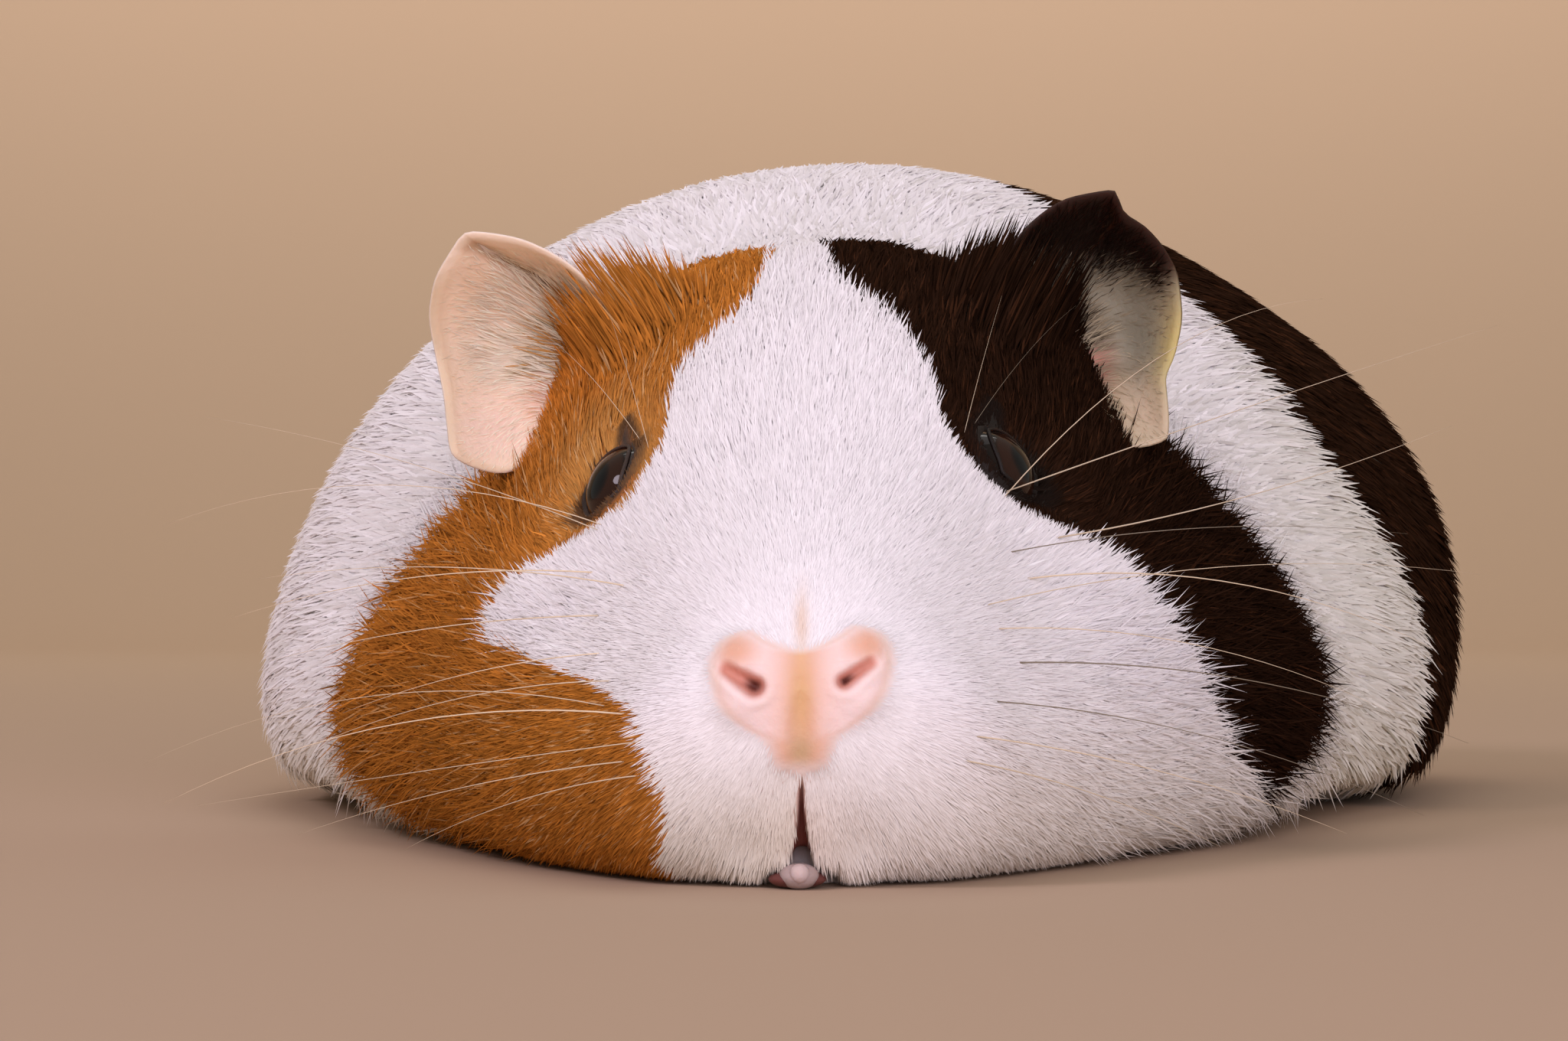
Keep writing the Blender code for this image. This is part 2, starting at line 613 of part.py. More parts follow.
def build():
    for item in list(bpy.data.objects):
        bpy.data.objects.remove(item)
    body = body_mesh()
    around = cutter(body_mesh(GAP), "body_around")

    muzzle_block = cut_block(body, far=MUZZLE_CUT)
    nose = make_nose(muzzle_block)
    muzzle = new_object("muzzle", muzzle_block, "white_coat")
    cut_away(muzzle, nose_prism(GAP))
    head = new_object("head", cut_block(body, near=MUZZLE_CUT, far=NECK_FRONT_CUT), "white_coat")
    jaw = new_object("lower_jaw", jaw_mesh(0.0), "pink_skin")
    for piece in (muzzle, head):
        cut_away(piece, jaw_mesh(GAP))
    cut_away(muzzle, cleft_wedge())

    neck = new_object("neck", cut_block(body, near=NECK_FRONT_CUT, far=NECK_BACK_CUT), "white_coat")
    trunk_block = cut_block(body, near=NECK_BACK_CUT)
    legs = []
    for side, word in ((-1, "right"), (1, "left")):
        legs.append(make_leg(f"fore_leg_{word}", UPPER_ARM, side, trunk_block))
        legs.append(make_leg(f"hind_leg_{word}", THIGH, side, trunk_block))
    trunk = new_object("trunk", trunk_block, "white_coat")
    for side, word in ((-1, "right"), (1, "left")):
        for leg in (UPPER_ARM, THIGH):
            cut_away(trunk, leg_volume(leg, side, GAP))
        for kind, foot in (("fore", FORE_FOOT), ("hind", HIND_FOOT)):
            item, claws = make_foot(f"{kind}_foot_{word}", side, foot)
            pieces = [item]
            for number, (start, direction) in enumerate(claws, 1):
                new_object(f"{kind}_claw_{word}_{number}", claw_mesh(start, direction, foot["claw"]), "claw")
                pieces.append(bpy.data.objects[f"{kind}_claw_{word}_{number}"])
            hollow = cutter(foot_hollow(pieces, side, foot), "foot_hollow")
            leg = bpy.data.objects[f"{kind}_leg_{word}"]
            # The exact solver turns the trunk inside out here.
            for piece in (trunk, leg, neck) if kind == "fore" else (trunk, leg):
                combine(piece, hollow, "DIFFERENCE", "MANIFOLD")
            bpy.data.objects.remove(hollow)

        ear = make_ear(f"ear_{word}", side, around)
        keep_largest(ear)
        eye_middle = place(side * EYE_PLACE[0], EYE_PLACE[1], EYE_PLACE[2])
        new_object(f"eye_{word}", ellipsoid(eye_middle, [EYE_RADIUS] * 3, EYE_FACES), "eye")
        cut_away(head, ellipsoid(eye_middle, [EYE_RADIUS + GAP] * 3, EYE_FACES))
    for piece in [trunk, neck, head, muzzle, nose] + legs:
        keep_largest(piece)
    bpy.data.objects.remove(around)
    body.free()


def centre_on_floor():
    """Put the origin under the middle of the animal's box, on the floor."""
    corners = [item.matrix_world @ vert.co for item in bpy.data.objects for vert in item.data.vertices]
    low = Vector([min(c[i] for c in corners) for i in range(3)])
    high = Vector([max(c[i] for c in corners) for i in range(3)])
    shift = Vector((-(low.x + high.x) / 2, -(low.y + high.y) / 2, -low.z))
    for item in bpy.data.objects:
        item.data.transform(Matrix.Translation(shift))


build()
centre_on_floor()
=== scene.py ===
"""Finish for the guinea pig: its skin, short coat, eyes, claws and whiskers, with floor, light and camera.

Lengths in the tables are in millimetres. A place on the animal is (side, back, up): side is the
distance from its middle plane, positive on its left, back is the distance behind the tip of the
nose along the spine, and up is the height above the floor.
"""
import json
import math

import bmesh
import bpy
import numpy as np
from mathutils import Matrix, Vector
from mathutils.bvhtree import BVHTree

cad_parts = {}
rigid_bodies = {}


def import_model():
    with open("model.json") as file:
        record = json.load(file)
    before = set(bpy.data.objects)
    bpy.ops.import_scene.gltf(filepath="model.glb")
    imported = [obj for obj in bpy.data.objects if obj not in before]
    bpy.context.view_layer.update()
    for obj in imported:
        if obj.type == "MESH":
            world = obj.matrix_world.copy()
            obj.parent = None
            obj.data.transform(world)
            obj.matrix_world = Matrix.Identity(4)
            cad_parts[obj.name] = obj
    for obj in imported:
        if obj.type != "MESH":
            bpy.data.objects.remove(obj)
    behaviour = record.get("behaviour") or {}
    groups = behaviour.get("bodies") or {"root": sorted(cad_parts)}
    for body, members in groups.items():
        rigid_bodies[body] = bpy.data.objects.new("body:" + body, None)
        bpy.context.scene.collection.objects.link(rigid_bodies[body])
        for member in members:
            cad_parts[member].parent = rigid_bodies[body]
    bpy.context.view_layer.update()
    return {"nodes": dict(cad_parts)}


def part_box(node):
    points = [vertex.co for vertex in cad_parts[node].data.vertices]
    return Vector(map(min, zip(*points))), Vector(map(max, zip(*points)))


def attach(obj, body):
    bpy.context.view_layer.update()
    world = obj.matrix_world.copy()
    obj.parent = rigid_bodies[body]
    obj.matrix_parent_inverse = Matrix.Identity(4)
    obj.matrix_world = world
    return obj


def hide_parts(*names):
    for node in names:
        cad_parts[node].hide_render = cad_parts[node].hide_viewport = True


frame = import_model()

MM = 0.001
SIDES = {"right": -1, "left": 1}
nose_low, nose_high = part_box("nose")
NOSE_X = (nose_low[0] + nose_high[0]) / 2
NOSE_Y = nose_low[1]
NOSE_UP = 14.5

BODY_NODES = ["head", "muzzle", "neck", "trunk", "nose", "lower_jaw"]
PAIRED_NODES = ("ear", "fore_leg", "hind_leg", "fore_foot", "hind_foot")
FLESH = BODY_NODES + [f"{part}_{word}" for word in SIDES for part in PAIRED_NODES]

# The spine's sideways swing and the height of the body's middle, as (back, value)
SPINE_SWING = ((-10, -0.2), (0, 0.0), (30, 0.7), (62, 2.7), (100, 3.7), (135, 5.6), (170, 10.0), (205, 18.6),
               (250, 33.0), (262, 36.8))
SPINE_REACH = 8.0
MIDDLE_UP = ((0, 14.5), (40, 18.0), (80, 22.0), (120, 30.0), (250, 32.0))
ROLL = 0.045
ROLL_FADES = (62.0, 112.0)
ROLL_PIVOT = 27.0
TRUNK_LEAN = 0.050
LEAN_STARTS = 20.0
LEAN_FADES = ((78.0, 108.0), (170.0, 225.0))

# The skin's net: lines from nose to rump, and how many points each stretch of a line has
AROUND = 248
FRONT_HUB = 14.0
REAR_HUB = 196.0
FRONT_STEPS = 120
FACE_END = 76.0
FACE_STEPS = 122
BODY_STEPS = 58
REAR_STEPS = 38
HUB_RISES = 30.0      # the lines' hub rises from the nose's level to the body's over this distance
RAY_REACH = 0.25      # metres from a hub to where its rays start, outside the animal
HOLLOWS = (9, 2)      # widths of the hollows that are filled, in points of the net, in front and behind
FRONT_FILLED = 8      # rows behind the front hub's own that count as the front
SOFTENED = (5, 3)     # width of the smoothing along the net and round it, in points


# ---------------------------------------------------------------- curves and places
def curve(points, where):
    """A smooth curve through (x, value) points, level beyond its ends."""
    xs, ys = np.array(points, float).T
    where = np.asarray(where, float)
    step = np.diff(xs)
    rise = np.diff(ys) / step
    slope = np.concatenate(([rise[0]], np.zeros(len(rise) - 1), [rise[-1]]))
    turns = np.nonzero(rise[:-1] * rise[1:] > 0)[0]
    near, far = 2 * step[turns + 1] + step[turns], step[turns + 1] + 2 * step[turns]
    slope[turns + 1] = (near + far) / (near / rise[turns] + far / rise[turns + 1])
    i = np.clip(np.searchsorted(xs, where) - 1, 0, len(step) - 1)
    t = np.clip((where - xs[i]) / step[i], 0.0, 1.0)
    start = (1 + 2 * t) * (1 - t) ** 2 * ys[i] + t * (1 - t) ** 2 * step[i] * slope[i]
    end = t * t * (3 - 2 * t) * ys[i + 1] + t * t * (t - 1) * step[i] * slope[i + 1]
    return start + end


def fade(low, high, value):
    """0 at low, 1 at high, smooth between."""
    t = np.clip((value - low) / (high - low), 0.0, 1.0)
    return t * t * (3 - 2 * t)


def unit(vectors):
    """Vectors of length one."""
    return vectors / np.maximum(np.linalg.norm(vectors, axis=-1, keepdims=True), 1e-9)


def heading(back):
    """Angle of the spine to +Y."""
    after, before = curve(SPINE_SWING, back + SPINE_REACH), curve(SPINE_SWING, back - SPINE_REACH)
    return np.arctan((after - before) / (2 * SPINE_REACH))


def lean_aside(back, up):
    """How far the head or the trunk leans aside at a height, away from the animal's left."""
    roll = ROLL * (1 - fade(*ROLL_FADES, back)) * fade(0.0, NOSE_UP, up)
    lean = TRUNK_LEAN * fade(*LEAN_FADES[0], back) * (1 - fade(*LEAN_FADES[1], back))
    return roll, roll * np.maximum(up - ROLL_PIVOT, 0.0) + lean * np.maximum(up - LEAN_STARTS, 0.0)


def place(side, back, up):
    """Places on the animal as points of the frame, in metres."""
    side, back, up = np.broadcast_arrays(*(np.asarray(v, float) for v in (side, back, up)))
    roll, aside = lean_aside(back, up)
    side, up = side - aside, up + roll * side
    turn = heading(back)
    x = curve(SPINE_SWING, back) + side * np.cos(turn)
    y = back - side * np.sin(turn)
    return np.stack([NOSE_X + x * MM, NOSE_Y + y * MM, up * MM], axis=-1)


def where_on_animal(points):
    """(side, back, up) of points of the frame."""
    x, y, z = (points[..., 0] - NOSE_X) / MM, (points[..., 1] - NOSE_Y) / MM, points[..., 2] / MM
    back = y
    for _ in range(5):
        turn = heading(back)
        side = (x - curve(SPINE_SWING, back)) / np.cos(turn)
        back = y + side * np.sin(turn)
    roll = lean_aside(back, z)[0]
    up = z - roll * side
    return side + lean_aside(back, up)[1], back, up


def chart(side, back, up):
    """Angle round the body in degrees, 0 on top and positive on the left, and distance from the nose."""
    angle = np.degrees(np.arctan2(side, up - curve(MIDDLE_UP, back)))
    away = np.sqrt(side ** 2 + back ** 2 + (up - NOSE_UP) ** 2)
    return angle, away


# ---------------------------------------------------------------- markings
WHITE, ORANGE, BLACK, BLANKET = 0, 1, 2, 3
# Borders of the patches of the coat: (angle round the body, distance from the nose)
ORANGE_FRONT = ((-180, 200), (-150, 17.6), (-142, 17.0), (-137, 13.6), (-126, 11.9), (-110, 11.7),
                (-96, 12.4), (-90, 20.0), (-88.5, 33.0), (-87, 41.5), (-83, 44.2), (-77, 43.2),
                (-69, 39.9), (-58, 36.8), (-50, 33.8), (-42, 35.1), (-34, 37.3), (-30, 42.7), (-25, 49.1),
                (-19, 51.5), (-14, 54.7), (-10, 58.5), (-8, 69.0), (-6, 86.0), (0, 200))
ORANGE_REAR = ((-180, 0), (-125, 56.0), (-119, 60.0), (-113, 68.6), (-108, 77.5), (-103, 86.0), (-97, 87.0),
               (-90, 86.0), (-80, 80.0), (-71, 73.0), (-60, 72.0), (-48, 76.0), (-38, 85.0), (-28, 90.0),
               (-20, 92.0), (-12, 88.0), (-8, 80.0), (0, 60.0))
BLACK_FRONT = ((0, 200), (0.5, 74.0), (3, 62.0), (9, 56.9), (17, 52.2), (26, 44.4), (31, 39.3),
               (41, 35.4), (51, 36.0), (59, 36.2), (69, 39.5), (77, 43.3), (85, 44.9), (93, 47.6),
               (103, 51.8), (108, 55.6), (112, 66.0), (180, 200))
BLACK_REAR = ((0, 84.0), (4, 88.0), (9, 91.0), (15, 90.0), (24, 90.0), (40, 86.0), (56, 76.0),
              (66, 71.5), (81, 76.5), (91, 83.5), (98, 85.0), (103, 84.5), (107, 77.7), (110, 71.0),
              (114, 64.0), (180, 0))
BLANKET_FRONT = ((-40, 400), (8, 196.0), (24, 160.0), (40, 141.0), (58, 135.3), (67, 130.5), (77, 123.6),
                 (86, 123.0), (94, 130.0), (101, 132.0), (108, 125.0), (116, 130.0), (130, 170.0),
                 (180, 400))
BLANKET_REAR = ((-40, 0), (8, 212.0), (24, 226.0), (50, 232.0), (80, 226.0), (100, 214.0), (118, 196.0),
                (180, 0))


def border(points, angle):
    """Distance from the nose to a patch's border at an angle round the body."""
    xs, ys = np.array(points, float).T
    return np.interp(angle, xs, ys)


def between(front, rear, angle, away, ragged):
    """How far inside a patch a place is, in millimetres."""
    return np.minimum(away - border(front, angle), border(rear, angle) - away) + ragged


def markings(side, back, up, ragged=0.0):
    """The patch at each place: white, orange, black or the dark blanket."""
    angle, away = chart(side, back, up)
    patch = np.zeros(np.shape(angle), int)
    patch[between(ORANGE_FRONT, ORANGE_REAR, angle, away, ragged) > 0] = ORANGE
    patch[between(BLACK_FRONT, BLACK_REAR, angle, away, ragged) > 0] = BLACK
    patch[between(BLANKET_FRONT, BLANKET_REAR, angle, away, 3 * ragged) > 0] = BLANKET
    return patch


# Colours of the coat and of bare skin
COAT_COLOURS = np.array([(0.94, 0.90, 0.92), (0.52, 0.185, 0.030),
                         (0.020, 0.009, 0.005), (0.024, 0.011, 0.006)])
UNDER_COLOURS = np.array([(0.92, 0.87, 0.87), (0.44, 0.15, 0.025),
                          (0.012, 0.006, 0.004), (0.018, 0.009, 0.005)])
NOSE_PALE = np.array((0.93, 0.73, 0.70))
NOSE_PEACH = np.array((0.82, 0.49, 0.36))
NOSTRIL_RED = np.array((0.24, 0.050, 0.032))
# dark of the lower lip's fold: partly its own colour, partly painted shade
LIP_DARK_AND_SHADE = np.array((0.15, 0.050, 0.042))
LIP_GREY = np.array((0.46, 0.34, 0.32))
LIP_PINK = np.array((0.76, 0.55, 0.46))
# dark reddish brown of the mouth and the cleft: partly their own colour, partly painted shade in these
# hollows
MOUTH_DARK_AND_SHADE = np.array((0.22, 0.065, 0.045))
STAIN = np.array((0.74, 0.45, 0.20))


# ---------------------------------------------------------------- mesh helpers
def mesh_object(name, verts, faces):
    """A new smooth object in the scene."""
    mesh = bpy.data.meshes.new(name)
    mesh.from_pydata([tuple(v) for v in verts], [], faces)
    mesh.shade_smooth()
    item = bpy.data.objects.new(name, mesh)
    bpy.context.scene.collection.objects.link(item)
    return item


def put(mesh, name, kind, values):
    """Store values for each vertex."""
    attribute = mesh.attributes.get(name) or mesh.attributes.new(name, kind, "POINT")
    field = {"FLOAT": "value", "FLOAT_VECTOR": "vector", "FLOAT_COLOR": "color"}[kind]
    values = np.asarray(values, np.float32)
    if kind == "FLOAT_COLOR" and values.shape[-1] == 3:
        values = np.concatenate([values, np.ones((*values.shape[:-1], 1), np.float32)], axis=-1)
    attribute.data.foreach_set(field, np.ascontiguousarray(values).ravel())


def get(mesh, name, width):
    """Stored values, one or three for each vertex."""
    field = {1: "value", 3: "vector"}[width]
    data = mesh.attributes[name].data
    values = np.empty(len(data) * width, np.float32)
    data.foreach_get(field, values)
    return values.reshape(-1, width) if width > 1 else values


def points_of(mesh):
    """The mesh's vertices as an array."""
    found = np.empty(len(mesh.vertices) * 3, np.float32)
    mesh.vertices.foreach_get("co", found)
    return found.reshape(-1, 3).astype(float)


def net_faces(rows, around):
    """Faces of a net closed round its axis, whose first two verts are the poles at its ends."""
    faces = []
    last = 2 + (rows - 1) * around
    for k in range(around):
        n = (k + 1) % around
        faces.append((0, 2 + k, 2 + n))
        for a in range(2, last, around):
            faces.append((a + k, a + around + k, a + around + n, a + n))
        faces.append((1, last + n, last + k))
    return faces


def joined(parts):
    """Several (verts, faces) as one."""
    verts, faces = [], []
    for more_verts, more_faces in parts:
        faces += [tuple(len(verts) + i for i in face) for face in more_faces]
        verts += list(more_verts)
    return verts, faces


def blend(a, b, share):
    """a where share is 0, b where it is 1, for values of three numbers."""
    return a * (1 - share[..., None]) + np.asarray(b) * share[..., None]


def hill(across, wide, along, long):
    """1 where across and along are 0, falling off over the widths wide and long."""
    return np.exp(-(across / wide) ** 2 - (along / long) ** 2)


# ---------------------------------------------------------------- the skin's net
def spread_filter(values, width, find):
    """Largest or smallest of each value's neighbours, first round the body and then along it."""
    out = values
    for shift in range(-width, width + 1):
        out = find(out, np.roll(values, shift, axis=1))
    padded = np.pad(out, ((1, 1), (0, 0)), mode="edge")
    return find(find(padded[:-2], padded[2:]), out)


def fill_hollows(values, width):
    """Bridge the hollows narrower than a width."""
    return spread_filter(spread_filter(values, width, np.maximum), width, np.minimum)


def bell(width):
    """Weights of a bell curve, one in all."""
    weights = np.exp(-0.5 * (np.arange(-3 * width, 3 * width + 1) / width) ** 2)
    return weights / weights.sum()


def soften(values, along, round_):
    """Smooth a net's values along its lines and round it."""
    kernel = bell(along)
    half = len(kernel) // 2
    padded = np.concatenate([values[half:0:-1], values, values[-2:-half - 2:-1]])
    out = sum(w * padded[i:i + len(values)] for i, w in enumerate(kernel))
    kernel = bell(round_)
    return sum(w * np.roll(out, i - len(kernel) // 2, axis=1) for i, w in enumerate(kernel))


def flesh_target():
    """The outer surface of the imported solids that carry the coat."""
    verts, faces = [], []
    for name in BODY_NODES + [f"{part}_{word}" for part in ("fore_leg", "hind_leg", "eye") for word in SIDES]:
        mesh = frame["nodes"][name].data
        base = len(verts)
        verts += [v.co.copy() for v in mesh.vertices]
        faces += [[base + i for i in p.vertices] for p in mesh.polygons]
    return BVHTree.FromPolygons(verts, faces)


def skin_net():
    """Points of the coat's outer surface on lines from nose to rump."""
    backs = np.concatenate([
        np.full(FRONT_STEPS, FRONT_HUB),
        FRONT_HUB + (FACE_END - FRONT_HUB) * (np.arange(FACE_STEPS) + 0.5) / FACE_STEPS,
        FACE_END + (REAR_HUB - FACE_END) * (np.arange(BODY_STEPS) + 0.5) / BODY_STEPS,
        np.full(REAR_STEPS, REAR_HUB)])
    lean = np.concatenate([
        -np.pi / 2 * (1 - (np.arange(FRONT_STEPS) + 1.0) / FRONT_STEPS),
        np.zeros(FACE_STEPS + BODY_STEPS),
        np.pi / 2 * np.arange(REAR_STEPS) / REAR_STEPS])
    lean[:FRONT_STEPS] -= np.pi / 2 / FRONT_STEPS * 0.5 * np.linspace(1, 0, FRONT_STEPS)
    angles = 2 * np.pi * (np.arange(AROUND) + 0.5) / AROUND - np.pi
    turn = heading(backs)
    side = np.stack([np.cos(turn), -np.sin(turn), np.zeros_like(turn)], axis=-1)
    ahead = np.stack([np.sin(turn), np.cos(turn), np.zeros_like(turn)], axis=-1)
    share = fade(FRONT_HUB, FRONT_HUB + HUB_RISES, backs)
    level = NOSE_UP * MM * (1 - share) + curve(MIDDLE_UP, backs) * MM * share
    hubs = np.stack([NOSE_X + curve(SPINE_SWING, backs) * MM, NOSE_Y + backs * MM, level], axis=-1)
    rays = (side[:, None] * np.sin(angles)[None, :, None]
            + np.array((0, 0, 1.0)) * np.cos(angles)[None, :, None]) * np.cos(lean)[:, None, None]
    rays += ahead[:, None] * np.sin(lean)[:, None, None]
    target = flesh_target()
    reach = np.zeros(rays.shape[:2])
    for j in range(len(backs)):
        hub = Vector(hubs[j])
        for k in range(AROUND):
            ray = Vector(rays[j, k])
            hit = target.ray_cast(hub + ray * RAY_REACH, -ray, RAY_REACH)
            reach[j, k] = RAY_REACH - hit[3] if hit[0] is not None else np.nan
    reach[np.isnan(reach)] = np.nanmean(reach)
    front = (np.arange(len(backs)) < FRONT_STEPS + FRONT_FILLED)[:, None]
    reach = np.where(front, fill_hollows(reach, HOLLOWS[0]), fill_hollows(reach, HOLLOWS[1]))
    reach = soften(reach, *SOFTENED)
    return hubs[:, None] + rays * reach[..., None]


# Where the spacing of the net's rows changes: the row, how far the evening out reaches to each side of it,
# and its width there
EVENED = ((FRONT_STEPS, 9.0, 2.6), (FRONT_STEPS + FACE_STEPS, 17.0, 5.0))


def even_out(points):
    """Smooth the net along the body, by real distance, near the places where its spacing changes."""
    for row, far, width in EVENED:
        steps = np.linalg.norm(np.diff(points, axis=0), axis=-1).mean(axis=1) / MM
        along = np.concatenate([[0.0], np.cumsum(steps)])
        reach = np.maximum(width * np.exp(-((along - along[row]) / far) ** 2), 0.05)
        weights = np.exp(-0.5 * ((along[:, None] - along) / reach[:, None]) ** 2) * np.gradient(along)
        points = np.einsum("ij,jkc->ikc", weights / weights.sum(axis=1, keepdims=True), points)
    return points


def net_normals(points):
    """Outward directions at the net's points."""
    down = np.gradient(points, axis=0)
    ring = np.roll(points, -1, axis=1) - np.roll(points, 1, axis=1)
    return unit(np.cross(ring, down))


# ---------------------------------------------------------------- depth, length and lie of the coat
# Each as (distance from the nose, value)
DEPTH = ((0, 0.0), (7, 0.1), (12, 0.25), (24, 0.4), (45, 0.55), (70, 0.8), (100, 1.0), (140, 1.1), (300, 1.1))
LENGTH = ((0, 0.9), (8, 1.2), (14, 2.1), (24, 3.0), (38, 3.7), (55, 4.8), (75, 6.4), (100, 8.4), (140, 10.0),
          (300, 10.5))
WIDTH = ((0, 0.09), (8, 0.10), (14, 0.13), (30, 0.17), (55, 0.21), (75, 0.27), (100, 0.40), (140, 0.55),
         (300, 0.60))
LIFT = ((0, 0.05), (12, 0.07), (40, 0.08), (75, 0.06), (110, 0.03), (300, 0.03))

# Half width of the bare nose pad and of the furred notch in its top, as (up, value)
PAD_HALF_WIDTH = ((8.3, 0.2), (8.8, 1.9), (9.8, 2.2), (10.9, 2.6), (11.8, 4.0), (13.0, 5.5), (14.6, 6.4),
                  (16.4, 6.7), (17.8, 6.2), (18.5, 5.3), (18.9, 4.0), (19.3, 0.2))
PAD_NOTCH = ((16.8, -2.0), (17.2, 0.3), (17.8, 1.9), (18.5, 3.1), (19.2, 4.2))
# Nostrils, for each side of the nose: inner end, outer end and half width of the slit, and depth
NOSTRIL = {-1: ((3.3, 14.8), (5.3, 16.1), 0.52, 1.1), 1: ((3.1, 14.9), (4.9, 16.1), 0.32, 0.8)}
CLEFT_HALF_WIDTH = ((0.5, 1.25), (1.9, 0.95), (3.2, 0.55), (4.6, 0.24), (6.0, 0.08), (7.4, 0.0))
NOSTRIL_TAPER = 0.55   # how much narrower a nostril is at its outer end
CLEFT_DEPTH = 1.9


def segment_distance(side, up, start, end):
    """Distance to a short line, and how far along it the nearest point is."""
    start, end = np.array(start), np.array(end)
    run = end - start
    share = np.clip(((side - start[0]) * run[0] + (up - start[1]) * run[1]) / (run @ run), 0.0, 1.0)
    return np.hypot(side - start[0] - share * run[0], up - start[1] - share * run[1]), share


def pad_inside(side, up):
    """How far inside the outline of the nose pad a place is, in millimetres."""
    return np.minimum(curve(PAD_HALF_WIDTH, up) - np.abs(side), np.abs(side) - curve(PAD_NOTCH, up))


def pad_share(side, up):
    """How bare the nose pad is at a place; the coat thins out slowly down into its notch."""
    wide = np.abs(side)
    edge = fade(-1.0, 1.3, curve(PAD_HALF_WIDTH, up) - wide)
    return edge * fade(7.8, 9.8, up) * fade(-1.9, 1.9, wide - curve(PAD_NOTCH, up))


def nose_relief(side, up):
    """Height of the nose pad, nostrils, groove and lips over the plain muzzle."""
    wide = np.abs(side)
    height = 0.14 * pad_share(side, up)
    height += 0.50 * hill(wide - 4.5, 1.8, up - 13.6, 1.5) + 0.34 * hill(wide - 4.7, 1.7, up - 17.2, 1.0)
    height += 0.20 * hill(wide - 1.4, 0.8, up - 11.0, 2.6)
    height -= 0.22 * hill(side, 0.70, up - 12.6, 4.6)
    for hand, (start, end, open_, deep) in NOSTRIL.items():
        away, share = segment_distance(side * hand, up, start, end)
        half = open_ * (1.0 - NOSTRIL_TAPER * share)
        height -= deep * (1 - fade(0.2 * half, half + 0.42, away)) * (1 - 0.62 * share)
        height += 0.22 * hill(away - half - 0.75, 0.40, share - 0.45, 0.8) * (up < 16.2)
    height += 0.45 * hill(wide - 1.9, 1.4, up - 3.6, 2.4)
    half = curve(CLEFT_HALF_WIDTH, up)
    height -= CLEFT_DEPTH * (1 - fade(0.4 * half, half + 0.22, wide)) * (1 - fade(6.6, 8.4, up))
    height -= 2.2 * (1 - fade(0.6, 2.6, up)) * (1 - fade(1.6, 3.2, wide))
    return height


# Outward direction of each eye, as its shares forward and up for each share sideways, and the half width of
# the opening between the lids forward, backward, up and down
EYE_AIM = {"right": (0.52, 0.42), "left": (0.50, 0.48)}
OPENINGS = (3.0, 3.0, 3.5, 3.4)
EYE_RAISED = 0.6
EYE_CORNER_SHADE = ((-1.4, 3.0), (-5.0, 5.1), 1.15)   # painted shade in the lids' upper corner: its ends and its half width
LID = 0.32              # thickness of the lids over the eyeball
LID_FADES = (0.8, 4.0)  # the skin lies on the eyeball up to here, and keeps its own shape from here
UNDER_BALL = 1.1        # depth of the skin below the eyeball's surface, inside the opening
eye_low, eye_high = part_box("eye_right")
EYE_RADIUS = (eye_high[2] - eye_low[2]) / 2 / MM


def eye_frame(word):
    """Centre of an eye, its outward direction, and the directions forward and up across it."""
    low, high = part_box(f"eye_{word}")
    centre = (np.array(low) + np.array(high)) / 2 + (0, 0, EYE_RAISED * MM)
    forward, upward = EYE_AIM[word]
    out = unit(np.array((SIDES[word] * 1.0, -forward, upward)))
    ahead = np.array((0.0, -1.0, 0.0))
    ahead = unit(ahead - out * (ahead @ out))
    across = np.cross(out, ahead)
    across *= np.sign(across[2])
    return centre, out, ahead, across


def opening(forward, high):
    """Half width of the opening between the lids in a direction across the eye."""
    ahead, behind, above, below = OPENINGS
    wide = np.where(forward > 0, ahead, behind)
    tall = np.where(high > 0, above, below)
    length = np.maximum(np.hypot(forward, high), 1e-6)
    corner = 1.35 + 0.35 * fade(-0.2, 0.8, high / length)
    share = (np.abs(forward) / wide) ** corner + (np.abs(high) / tall) ** corner
    return length / np.maximum(share, 1e-6) ** (1 / corner)


def eye_distances(points, eye):
    """Distance of each place to the opening of the lids of an eye and to the painted shade in the corner
    above it.
    """
    centre, out, ahead, upward = eye
    from_eye = (points - centre) / MM
    high = from_eye @ out
    forward, rise = from_eye @ ahead, from_eye @ upward
    away = np.linalg.norm(from_eye - high[..., None] * out, axis=-1)
    beside, share = segment_distance(forward, rise, *EYE_CORNER_SHADE[:2])
    return (np.where(high > 0, away - opening(forward, rise), 1e3),
            np.where(high > 0, beside - EYE_CORNER_SHADE[2] * (1 - 0.8 * share), 1e3))


def shape_lids(points, eyes):
    """Open the skin over each eyeball and lay it on the ball round the opening; also eye_distances()."""
    distance = np.full(points.shape[:-1], 1e3)
    corner = np.full(points.shape[:-1], 1e3)
    for eye in eyes.values():
        centre, out = eye[:2]
        from_eye = (points - centre) / MM
        high = from_eye @ out
        gap, beside = eye_distances(points, eye)
        target = np.where(gap < -0.1, EYE_RADIUS - UNDER_BALL, EYE_RADIUS + LID)
        share = np.where(high > 0, 1 - fade(*LID_FADES, gap), 0.0)
        length = np.linalg.norm(from_eye, axis=-1)
        points = centre + unit(from_eye) * (length + (target - length) * share)[..., None] * MM
        distance = np.minimum(distance, gap)
        corner = np.minimum(corner, beside)
    return points, distance, corner


# ---------------------------------------------------------------- build the skin
NOSE_TIP_ROWS = 3   # rows round the tip of the nose that are drawn flat

